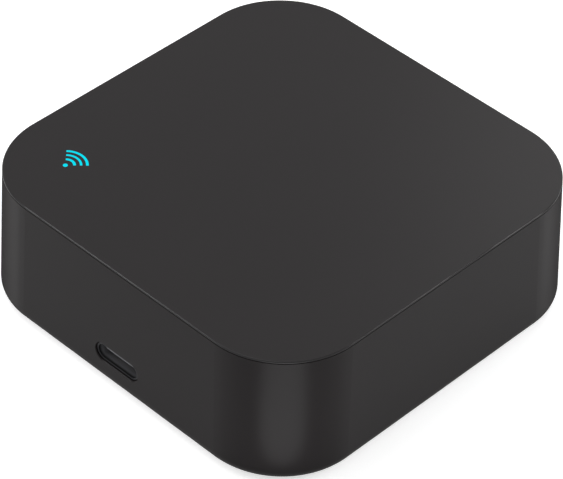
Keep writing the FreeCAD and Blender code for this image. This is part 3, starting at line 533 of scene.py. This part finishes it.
# die-cut black foam rubber that keeps the lamp's light in: matt, with open pores on its face
foamRubber = {
    "name": "blackFoamRubber", "colour": "#121212", "roughness": 0.95,
    "drift": 0.5, "tones": ("#0f0f0f", "#181818"), "span": (0.9, 1.0),
    "shader": {"Specular IOR Level": 0.2},
    "pore": 0.25, "rise": 0.05,
}


def makeRelief(plan, pattern, size, result):
    # a finish whose relief comes from a weave or from pores
    material, tree, shader, place = makeFinish(plan)
    cells = addNode(tree, pattern, {"Vector": place, "Scale": 1 / (size * mm)})
    bump = addNode(tree, "ShaderNodeBump", {"Height": cells.outputs[result], "Distance": plan["rise"] * mm})
    tree.links.new(bump.outputs[0], shader.inputs["Normal"])
    return material


finishes["radio_laminate"] = makeRelief(blackMask, "ShaderNodeTexChecker", blackMask["weave"], "Fac")
finishes["sleeve_rubber"] = makeRelief(foamRubber, "ShaderNodeTexVoronoi", foamRubber["pore"], "Distance")


# clear acrylic, frosted by its sleeve below, whose marks carry the lamp's cyan light up to the panel's face
litGuide = {
    "name": "litAcrylicGuide", "colour": "#d9f6f8", "roughness": 0.35, "grain": 0.2, "relief": 0.002,
    "shader": {"Specular IOR Level": 0.02, "Emission Color": toLinear("#00e2f4")},
    "lit": "#001012",  # the base under the glow, dark so that the glow keeps its colour
    "glowLow": 0.25, "glowHigh": 1.0,  # at the panel's underside and at its face
    "face": 0.1,  # how far below its own top the guide glows in full
}


def makeLitGuide(plan):
    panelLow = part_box("top_panel")[0].z
    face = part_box("light_guide")[1].z - plan["face"] * mm
    material, tree, shader, place = makeFinish(plan)
    height = addNode(tree, "ShaderNodeSeparateXYZ", {0: place})
    lit = addNode(tree, "ShaderNodeMapRange", {0: height.outputs[2], 1: panelLow, 2: face,
                                               3: plan["glowLow"], 4: plan["glowHigh"]})
    tone = addNode(tree, "ShaderNodeMix", {0: lit.outputs[0], 6: toLinear(plan["colour"]),
                                           7: toLinear(plan["lit"])}, data_type="RGBA")
    tree.links.new(tone.outputs[2], shader.inputs["Base Color"])
    tree.links.new(lit.outputs[0], shader.inputs["Emission Strength"])
    return material


finishes["guide_plastic"] = makeLitGuide(litGuide)


# a drawn aluminium can: pale matt metal with drawing lines up its side, and the black sector on its top
# that shows which lead is negative
canAluminium = {
    "name": "drawnAluminiumCan", "colour": "#c9cccd", "roughness": 0.34, "drawn": (1.0, 1.0, 0.03),
    "grain": 0.08, "relief": 0.001, "shader": {"Metallic": 0.9},
    "sector": 0.45,  # how far from the middle it starts, as a share of the radius
    "printDepth": 0.15,  # how far down from the top the print reaches
    "print": "#16181a",
}


def makeCanAluminium(plan):
    low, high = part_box("capacitor_can")
    middle = (low + high) / 2
    radius = (high.x - low.x) / 2
    topFrom = (high.z - low.z) / 2 - plan["printDepth"] * mm
    material, tree, shader, place = makeFinish(plan)
    local = addNode(tree, "ShaderNodeMapping", {"Vector": place, "Location": -middle})
    split = addNode(tree, "ShaderNodeSeparateXYZ", {0: local.outputs[0]})
    side = addNode(tree, "ShaderNodeMath", {0: split.outputs[0], 1: -plan["sector"] * radius},
                   operation="LESS_THAN")
    top = addNode(tree, "ShaderNodeMath", {0: split.outputs[2], 1: topFrom}, operation="GREATER_THAN")
    printed = addNode(tree, "ShaderNodeMath", {0: side.outputs[0], 1: top.outputs[0]},
                      operation="MULTIPLY")
    tone = addNode(tree, "ShaderNodeMix", {0: printed.outputs[0], 6: toLinear(plan["colour"]),
                                           7: toLinear(plan["print"])}, data_type="RGBA")
    tree.links.new(tone.outputs[2], shader.inputs["Base Color"])
    return material


finishes["can_aluminium"] = makeCanAluminium(canAluminium)

slotOf = {part["node"]: part["material_slot"] for part in frame["record"]["subparts"]}
for name, piece in nodes.items():
    for holder in piece.material_slots:
        holder.material = finishes[slotOf[name]]
print("finishes on", len(nodes), "nodes from", len(finishes), "slots")


# Fine pieces that repeat: a Geometry Nodes tree builds each kind at the places read from its solids

def lowCorner(points):
    # to a hundredth of a millimetre, so that the order of the places is the same in every run
    return round(min(p.x for p in points), 5), round(min(p.y for p in points), 5)


def looseParts(name):
    # the separate bodies of one CAD node, each as a list of points
    samePoint = 0.0001 * mm
    mesh = bmesh.new()
    mesh.from_mesh(nodes[name].data)
    bmesh.ops.remove_doubles(mesh, verts=mesh.verts, dist=samePoint)
    mesh.verts.index_update()
    mesh.verts.ensure_lookup_table()
    left = set(range(len(mesh.verts)))
    parts = []
    while left:
        waiting = [left.pop()]
        points = []
        while waiting:
            point = mesh.verts[waiting.pop()]
            points.append(point.co.copy())
            near = {edge.other_vert(point).index for edge in point.link_edges} & left
            left -= near
            waiting.extend(near)
        parts.append(points)
    mesh.free()
    return sorted(parts, key=lowCorner)


def startTree(name, inputs):
    # a tree that takes points and named values, and gives back one mesh
    tree = bpy.data.node_groups.new(name, "GeometryNodeTree")
    tree.interface.new_socket("Geometry", in_out="OUTPUT", socket_type="NodeSocketGeometry")
    tree.interface.new_socket("Places", in_out="INPUT", socket_type="NodeSocketGeometry")
    for key, value in inputs.items():
        kind = {int: "Int", float: "Float"}.get(type(value), "Material")
        tree.interface.new_socket(key, in_out="INPUT", socket_type="NodeSocket" + kind)
    return tree, addNode(tree, "NodeGroupInput").outputs


def finishTree(tree, places, instance, turn, layers):
    # one instance at each place, made real and given its finishes, each where its choice is true
    standing = addNode(tree, "GeometryNodeInstanceOnPoints", {"Points": places, "Instance": instance,
                                                              "Rotation": turn})
    last = addNode(tree, "GeometryNodeRealizeInstances", {0: standing.outputs[0]})
    for material, chosen in layers:
        last = addNode(tree, "GeometryNodeSetMaterial", {"Geometry": last.outputs[0], "Selection": chosen,
                                                         "Material": material})
    addNode(tree, "NodeGroupOutput", {0: last.outputs[0]})


def bakeTree(name, places, tree, values):
    # runs the tree on the points and keeps the result as a plain mesh
    mesh = bpy.data.meshes.new(name + "Places")
    mesh.from_pydata([tuple(place) for place in places], [], [])
    piece = addObject(name, mesh)
    modifier = piece.modifiers.new("build", "NODES")
    modifier.node_group = tree
    for item in tree.interface.items_tree:
        if item.in_out == "INPUT" and item.name in values:
            modifier[item.identifier] = values[item.name]
    graph = bpy.context.evaluated_depsgraph_get()
    built = bpy.data.meshes.new_from_object(piece.evaluated_get(graph), preserve_all_data_layers=True,
                                            depsgraph=graph)
    piece.modifiers.clear()
    piece.data = built
    print("built", name, "with", len(built.polygons), "faces at", len(places), "places")
    return piece


caseScrew = {
    "Shank radius": 0.95 * mm,
    "Shank length": 7.0 * mm,
    "Thread pitch": 0.9 * mm,
    "Thread depth": 0.25 * mm,
    "Thread crest": 0.06,  # half the crest's width, as a share of the pitch
    "Thread flank": 0.24,  # where the flank reaches the root, as a share of the pitch
    "Rings per turn": 8.0,
    "Point length": 1.2 * mm,
    "Point width": 0.12,  # what is left of the radius at the very tip
    "Head radius": 1.85 * mm,
    "Head height": 1.1 * mm,
    "Head crown": 0.5 * mm,
    "Crown power": 5.0,  # the higher it is, the nearer to the rim the head falls away
    "Cross reach": 1.0 * mm,
    "Cross width": 0.42 * mm,
    "Cross depth": 0.7 * mm,
    "Crease": math.radians(38),
    "Seed": 4,
    "Finish": finishes["screw_steel"],
}
boardScrew = {
    **caseScrew,
    "Shank radius": 0.8 * mm,
    "Shank length": 4.8 * mm,
    "Thread pitch": 0.7 * mm,
    "Thread depth": 0.2 * mm,
    "Head radius": 1.8 * mm,
    "Head height": 1.2 * mm,
    "Seed": 9,
}


def buildScrewTree(inputs):
    tree, given = startTree("threadedScrew", inputs)
    length, radius, pitch = [given["Shank length"], given["Shank radius"], given["Thread pitch"]]
    headRadius, headHeight = [given["Head radius"], given["Head height"]]
    at = addNode(tree, "ShaderNodeSeparateXYZ", {0: addNode(tree, "GeometryNodeInputPosition").outputs[0]})
    atX, atY, atZ = at.outputs[:3]

    # the shank: a fine tube whose rings follow the thread's helix and close in to the point
    steps = addNode(tree, "ShaderNodeMath", {0: length, 1: pitch}, operation="DIVIDE")
    rings = addNode(tree, "ShaderNodeMath", {0: steps.outputs[0], 1: given["Rings per turn"]},
                    operation="MULTIPLY")
    tube = addNode(tree, "GeometryNodeMeshCylinder", {"Vertices": 24, "Side Segments": rings.outputs[0],
                                                      "Radius": radius, "Depth": length})
    half = addNode(tree, "ShaderNodeMath", {0: length, 1: 0.5}, operation="MULTIPLY")
    lift = addNode(tree, "ShaderNodeCombineXYZ", {2: half.outputs[0]})
    stood = addNode(tree, "GeometryNodeTransform", {"Geometry": tube.outputs[0],
                                                    "Translation": lift.outputs[0]})
    angle = addNode(tree, "ShaderNodeMath", {0: atY, 1: atX}, operation="ARCTAN2")
    part = addNode(tree, "ShaderNodeMath", {0: angle.outputs[0], 1: 2 * math.pi}, operation="DIVIDE")
    climb = addNode(tree, "ShaderNodeMath", {0: atZ, 1: pitch}, operation="DIVIDE")
    phase = addNode(tree, "ShaderNodeMath", {0: climb.outputs[0], 1: part.outputs[0]},
                    operation="SUBTRACT")
    turn = addNode(tree, "ShaderNodeMath", {0: phase.outputs[0]}, operation="FRACT")
    away = addNode(tree, "ShaderNodeMath", {0: turn.outputs[0], 1: 0.5}, operation="SUBTRACT")
    gap = addNode(tree, "ShaderNodeMath", {0: away.outputs[0]}, operation="ABSOLUTE")
    groove = addNode(tree, "ShaderNodeMapRange", {0: gap.outputs[0], 1: given["Thread crest"],
                                                  2: given["Thread flank"], 3: 0.0, 4: 1.0})
    cut = addNode(tree, "ShaderNodeMath", {0: groove.outputs[0], 1: given["Thread depth"]},
                  operation="MULTIPLY")
    share = addNode(tree, "ShaderNodeMath", {0: cut.outputs[0], 1: radius}, operation="DIVIDE")
    width = addNode(tree, "ShaderNodeMath", {0: 1.0, 1: share.outputs[0]}, operation="SUBTRACT")
    below = addNode(tree, "ShaderNodeMath", {0: length, 1: atZ}, operation="SUBTRACT")
    point = addNode(tree, "ShaderNodeMapRange", {0: below.outputs[0], 1: 0.0, 2: given["Point length"],
                                                 3: given["Point width"], 4: 1.0})
    scale = addNode(tree, "ShaderNodeMath", {0: width.outputs[0], 1: point.outputs[0]},
                    operation="MULTIPLY")
    acrossX = addNode(tree, "ShaderNodeMath", {0: atX, 1: scale.outputs[0]}, operation="MULTIPLY")
    acrossY = addNode(tree, "ShaderNodeMath", {0: atY, 1: scale.outputs[0]}, operation="MULTIPLY")
    moved = addNode(tree, "ShaderNodeCombineXYZ", {0: acrossX.outputs[0], 1: acrossY.outputs[0], 2: atZ})
    shank = addNode(tree, "GeometryNodeSetPosition", {"Geometry": stood.outputs[0],
                                                      "Position": moved.outputs[0]})

    # the pan head: a disc whose lower face falls away to its rim
    disc = addNode(tree, "GeometryNodeMeshCylinder", {"Vertices": 48, "Side Segments": 3,
                                                      "Fill Segments": 8, "Radius": headRadius,
                                                      "Depth": headHeight})
    down = addNode(tree, "ShaderNodeMath", {0: headHeight, 1: -0.5}, operation="MULTIPLY")
    drop = addNode(tree, "ShaderNodeCombineXYZ", {2: down.outputs[0]})
    hung = addNode(tree, "GeometryNodeTransform", {"Geometry": disc.outputs[0],
                                                   "Translation": drop.outputs[0]})
    flat = addNode(tree, "ShaderNodeCombineXYZ", {0: atX, 1: atY})
    reach = addNode(tree, "ShaderNodeVectorMath", {0: flat.outputs[0]}, operation="LENGTH")
    ratio = addNode(tree, "ShaderNodeMath", {0: reach.outputs["Value"], 1: headRadius},
                    operation="DIVIDE")
    steep = addNode(tree, "ShaderNodeMath", {0: ratio.outputs[0], 1: given["Crown power"]},
                    operation="POWER")
    depth = addNode(tree, "ShaderNodeMath", {0: atZ, 1: headHeight}, operation="DIVIDE")
    crown = addNode(tree, "ShaderNodeMath", {0: steep.outputs[0], 1: depth.outputs[0]},
                    operation="MULTIPLY")
    fall = addNode(tree, "ShaderNodeMath", {0: crown.outputs[0], 1: given["Head crown"]},
                   operation="MULTIPLY")
    rise = addNode(tree, "ShaderNodeMath", {0: fall.outputs[0], 1: -1.0}, operation="MULTIPLY")
    offset = addNode(tree, "ShaderNodeCombineXYZ", {2: rise.outputs[0]})
    pan = addNode(tree, "GeometryNodeSetPosition", {"Geometry": hung.outputs[0],
                                                    "Offset": offset.outputs[0]})

    # the cross recess: two four-sided wedges taken out of the head from below
    halfDiagonal = 1.414  # of a square whose half side is 1
    wide = addNode(tree, "ShaderNodeMath", {0: given["Cross reach"], 1: halfDiagonal},
                   operation="MULTIPLY")
    thin = addNode(tree, "ShaderNodeMath", {0: given["Cross width"], 1: given["Cross reach"]},
                   operation="DIVIDE")
    deep = addNode(tree, "ShaderNodeMath", {0: given["Cross depth"], 1: 2.0}, operation="MULTIPLY")
    wedge = addNode(tree, "GeometryNodeMeshCone", {"Vertices": 4, "Radius Top": 0.0,
                                                   "Radius Bottom": wide.outputs[0],
                                                   "Depth": deep.outputs[0]})
    square = addNode(tree, "GeometryNodeTransform", {"Geometry": wedge.outputs[0],
                                                     "Rotation": (0.0, 0.0, math.pi / 4)})
    squeeze = addNode(tree, "ShaderNodeCombineXYZ", {0: 1.0, 1: thin.outputs[0], 2: 1.0})
    blade = addNode(tree, "GeometryNodeTransform", {"Geometry": square.outputs[0],
                                                    "Scale": squeeze.outputs[0]})
    foot = addNode(tree, "ShaderNodeMath", {0: headHeight, 1: -1.0}, operation="MULTIPLY")
    low = addNode(tree, "ShaderNodeMath", {0: foot.outputs[0], 1: given["Cross depth"]},
                  operation="SUBTRACT")
    seat = addNode(tree, "ShaderNodeCombineXYZ", {2: low.outputs[0]})
    head = addNode(tree, "GeometryNodeMeshBoolean", {"Mesh 1": pan.outputs[0]}, operation="DIFFERENCE")
    for quarter in (0.0, math.pi / 2):
        seated = addNode(tree, "GeometryNodeTransform", {
            "Geometry": blade.outputs[0], "Translation": seat.outputs[0], "Rotation": (0.0, 0.0, quarter)})
        tree.links.new(seated.outputs[0], head.inputs["Mesh 2"])

    joined = addNode(tree, "GeometryNodeJoinGeometry", {0: head.outputs[0]})
    tree.links.new(shank.outputs[0], joined.inputs[0])
    smooth = addNode(tree, "GeometryNodeSetShadeSmooth", {"Geometry": joined.outputs[0]})
    bend = addNode(tree, "GeometryNodeInputMeshEdgeAngle")
    soft = addNode(tree, "FunctionNodeCompare", {0: bend.outputs[0], 1: given["Crease"]},
                   operation="LESS_THAN")
    edges = addNode(tree, "GeometryNodeSetShadeSmooth", {"Geometry": smooth.outputs[0],
                                                         "Shade Smooth": soft.outputs[0]}, domain="EDGE")
    spin = addNode(tree, "FunctionNodeRandomValue", {"Max": (0.0, 0.0, 2 * math.pi), "Seed": given["Seed"]},
                   data_type="FLOAT_VECTOR")
    finishTree(tree, given["Places"], edges.outputs[0], spin.outputs[0], [(given["Finish"], True)])
    return tree


screwTree = buildScrewTree(caseScrew)
screwSets = (("case_screws", "caseScrews", caseScrew), ("board_screws", "boardScrews", boardScrew))
for nodeName, newName, plan in screwSets:
    seats = []
    for points in looseParts(nodeName):
        middle = sum(points, Vector()) / len(points)
        seats.append((middle.x, middle.y, min(p.z for p in points) + plan["Head height"]))
    screws = bakeTree(newName, seats, screwTree, plan)
    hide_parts(nodeName)
    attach(screws, "case")


chip = {
    "Length": 1.6 * mm,
    "Width": 0.8 * mm,
    "Height": 0.45 * mm,
    "Cap length": 0.3 * mm,
    "Cap proud": 0.02 * mm,
    "Cap from": 0.49,  # faces past this share of the ceramic's length belong to a cap
    "Ceramic": finishes["resistor_ceramic"],
    "Caps": finishes["tinned_metal"],
}


def buildChipTree(inputs):
    # a ceramic block with a tinned cap round each end, which stands a little proud of it
    tree, given = startTree("cappedChip", inputs)
    capLength, height = [given["Cap length"], given["Height"]]
    inner = addNode(tree, "ShaderNodeMath", {0: capLength, 1: -2.0}, operation="MULTIPLY")
    core = addNode(tree, "ShaderNodeMath", {0: given["Length"], 1: inner.outputs[0]}, operation="ADD")
    slim = addNode(tree, "ShaderNodeMath", {0: given["Cap proud"], 1: -2.0}, operation="MULTIPLY")
    narrow = addNode(tree, "ShaderNodeMath", {0: given["Width"], 1: slim.outputs[0]}, operation="ADD")
    flat = addNode(tree, "ShaderNodeMath", {0: height, 1: slim.outputs[0]}, operation="ADD")
    bodySize = addNode(tree, "ShaderNodeCombineXYZ", {0: core.outputs[0], 1: narrow.outputs[0],
                                                      2: flat.outputs[0]})
    body = addNode(tree, "GeometryNodeMeshCube", {"Size": bodySize.outputs[0]})
    capSize = addNode(tree, "ShaderNodeCombineXYZ", {0: capLength, 1: given["Width"], 2: height})
    cap = addNode(tree, "GeometryNodeMeshCube", {"Size": capSize.outputs[0]})
    away = addNode(tree, "ShaderNodeMath", {0: core.outputs[0], 1: capLength}, operation="ADD")
    joined = addNode(tree, "GeometryNodeJoinGeometry", {0: body.outputs[0]})
    for side in (-0.5, 0.5):
        shift = addNode(tree, "ShaderNodeMath", {0: away.outputs[0], 1: side}, operation="MULTIPLY")
        seat = addNode(tree, "ShaderNodeCombineXYZ", {0: shift.outputs[0]})
        end = addNode(tree, "GeometryNodeTransform", {"Geometry": cap.outputs[0],
                                                      "Translation": seat.outputs[0]})
        tree.links.new(end.outputs[0], joined.inputs[0])
    # the faces beyond the ceramic's length are remembered as the caps, for their finish
    at = addNode(tree, "ShaderNodeSeparateXYZ", {0: addNode(tree, "GeometryNodeInputPosition").outputs[0]})
    reach = addNode(tree, "ShaderNodeMath", {0: at.outputs[0]}, operation="ABSOLUTE")
    limit = addNode(tree, "ShaderNodeMath", {0: core.outputs[0], 1: given["Cap from"]},
                    operation="MULTIPLY")
    beyond = addNode(tree, "FunctionNodeCompare", {0: reach.outputs[0], 1: limit.outputs[0]},
                     operation="GREATER_THAN")
    marked = addNode(tree, "GeometryNodeCaptureAttribute", {0: joined.outputs[0]}, domain="FACE")
    marked.capture_items.new("BOOLEAN", "cap")
    tree.links.new(beyond.outputs[0], marked.inputs[1])
    finishTree(tree, given["Places"], marked.outputs[0], (0.0, 0.0, 0.0),
               [(given["Ceramic"], True), (given["Caps"], marked.outputs[1])])
    return tree


chipTree = buildChipTree(chip)
chipSets = (("chip_resistors", "chipResistors", "resistor_ceramic", 0.45 * mm),
            ("chip_capacitors", "chipCapacitors", "capacitor_ceramic", 0.8 * mm))
for nodeName, newName, slotName, height in chipSets:
    middles = [sum(points, Vector()) / len(points) for points in looseParts(nodeName)]
    plan = {**chip, "Height": height, "Ceramic": finishes[slotName]}
    chips = bakeTree(newName, middles, chipTree, plan)
    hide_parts(nodeName)
    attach(chips, "case")


solder = {
    "Height": 0.75 * mm,
    "Pad radius": 0.8 * mm,
    "Tip radius": 0.3 * mm,
    "Hollow power": 2.2,  # the higher it is, the more the flank hollows in
    "Finish": finishes["tinned_metal"],
}


def buildSolderTree(inputs):
    # the cone of solder that climbs a lead under the board, hollow in its flank
    tree, given = startTree("solderCone", inputs)
    height = given["Height"]
    tubeRadius = 1 * mm
    tube = addNode(tree, "GeometryNodeMeshCylinder", {"Vertices": 16, "Side Segments": 6,
                                                      "Radius": tubeRadius, "Depth": height})
    at = addNode(tree, "ShaderNodeSeparateXYZ", {0: addNode(tree, "GeometryNodeInputPosition").outputs[0]})
    atX, atY, atZ = at.outputs[:3]
    share = addNode(tree, "ShaderNodeMath", {0: atZ, 1: height}, operation="DIVIDE")
    rise = addNode(tree, "ShaderNodeMath", {0: share.outputs[0], 1: 0.5}, operation="ADD")
    hollow = addNode(tree, "ShaderNodeMath", {0: rise.outputs[0], 1: given["Hollow power"]},
                     operation="POWER")
    spread = addNode(tree, "ShaderNodeMapRange", {0: hollow.outputs[0], 3: given["Tip radius"],
                                                  4: given["Pad radius"]})
    scale = addNode(tree, "ShaderNodeMath", {0: spread.outputs[0], 1: tubeRadius}, operation="DIVIDE")
    acrossX = addNode(tree, "ShaderNodeMath", {0: atX, 1: scale.outputs[0]}, operation="MULTIPLY")
    acrossY = addNode(tree, "ShaderNodeMath", {0: atY, 1: scale.outputs[0]}, operation="MULTIPLY")
    half = addNode(tree, "ShaderNodeMath", {0: height, 1: -0.5}, operation="MULTIPLY")
    low = addNode(tree, "ShaderNodeMath", {0: atZ, 1: half.outputs[0]}, operation="ADD")
    moved = addNode(tree, "ShaderNodeCombineXYZ", {0: acrossX.outputs[0], 1: acrossY.outputs[0],
                                                   2: low.outputs[0]})
    cone = addNode(tree, "GeometryNodeSetPosition", {"Geometry": tube.outputs[0],
                                                     "Position": moved.outputs[0]})
    smooth = addNode(tree, "GeometryNodeSetShadeSmooth", {"Geometry": cone.outputs[0]})
    finishTree(tree, given["Places"], smooth.outputs[0], (0.0, 0.0, 0.0), [(given["Finish"], True)])
    return tree


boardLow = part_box("circuit_board")[0].z
tipDepth = 0.01 * mm  # a lead's points this near to its lowest one make up its tip
leadTips = []
for nodeName in ("emitter_leads", "receiver_leads"):
    for points in looseParts(nodeName):
        lowest = min(p.z for p in points)
        tip = [p for p in points if p.z < lowest + tipDepth]
        middle = sum(tip, Vector()) / len(tip)
        leadTips.append((middle.x, middle.y, boardLow))
solderJoints = bakeTree("solderJoints", leadTips, buildSolderTree(solder), solder)
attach(solderJoints, "case")


# The switch's snap dome, spun from one thin sheet.

dome = {
    "sheet": 0.08 * mm,
    "rings": 12,
    "around": 64,
    "merge": 0.0005 * mm,
    "crease": 38,
    "kept": 0.44,  # the share of its rise that is left with the button pressed home
}


def makeDome(plan, low, high):
    reach, rise = (high.x - low.x) / 2, high.z - low.z
    radius = (reach * reach + rise * rise) / (2 * rise)
    profile = []
    for skin, order in ((radius, 1), (radius - plan["sheet"], -1)):
        full = math.acos((radius - rise) / skin)
        turns = [full * ring / plan["rings"] for ring in range(plan["rings"] + 1)]
        profile += [(skin * math.sin(t), low.z + radius - skin * math.cos(t)) for t in turns][::order]
    shell = bmesh.new()
    points = [shell.verts.new((x, 0, z)) for x, z in profile]
    edges = [shell.edges.new(pair) for pair in zip(points, points[1:])]
    bmesh.ops.spin(shell, geom=points + edges, axis=(0, 0, 1), angle=2 * math.pi, steps=plan["around"])
    bmesh.ops.remove_doubles(shell, verts=shell.verts, dist=plan["merge"])
    bmesh.ops.recalc_face_normals(shell, faces=shell.faces)
    bmesh.ops.translate(shell, verts=shell.verts, vec=((low.x + high.x) / 2, (low.y + high.y) / 2, 0))
    for edge in shell.edges:
        edge.smooth = edge.calc_face_angle(0) < math.radians(plan["crease"])
    for face in shell.faces:
        face.smooth = True
    mesh = bpy.data.meshes.new("snapDome")
    shell.to_mesh(mesh)
    shell.free()
    mesh.materials.append(finishes[slotOf["switch_dome"]])
    return addObject("snapDome", mesh)


domeLow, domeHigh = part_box("switch_dome")
snapDome = makeDome(dome, domeLow, domeHigh)
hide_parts("switch_dome")
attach(snapDome, "case")
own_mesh(snapDome)
print("built snapDome with", len(snapDome.data.polygons), "faces")
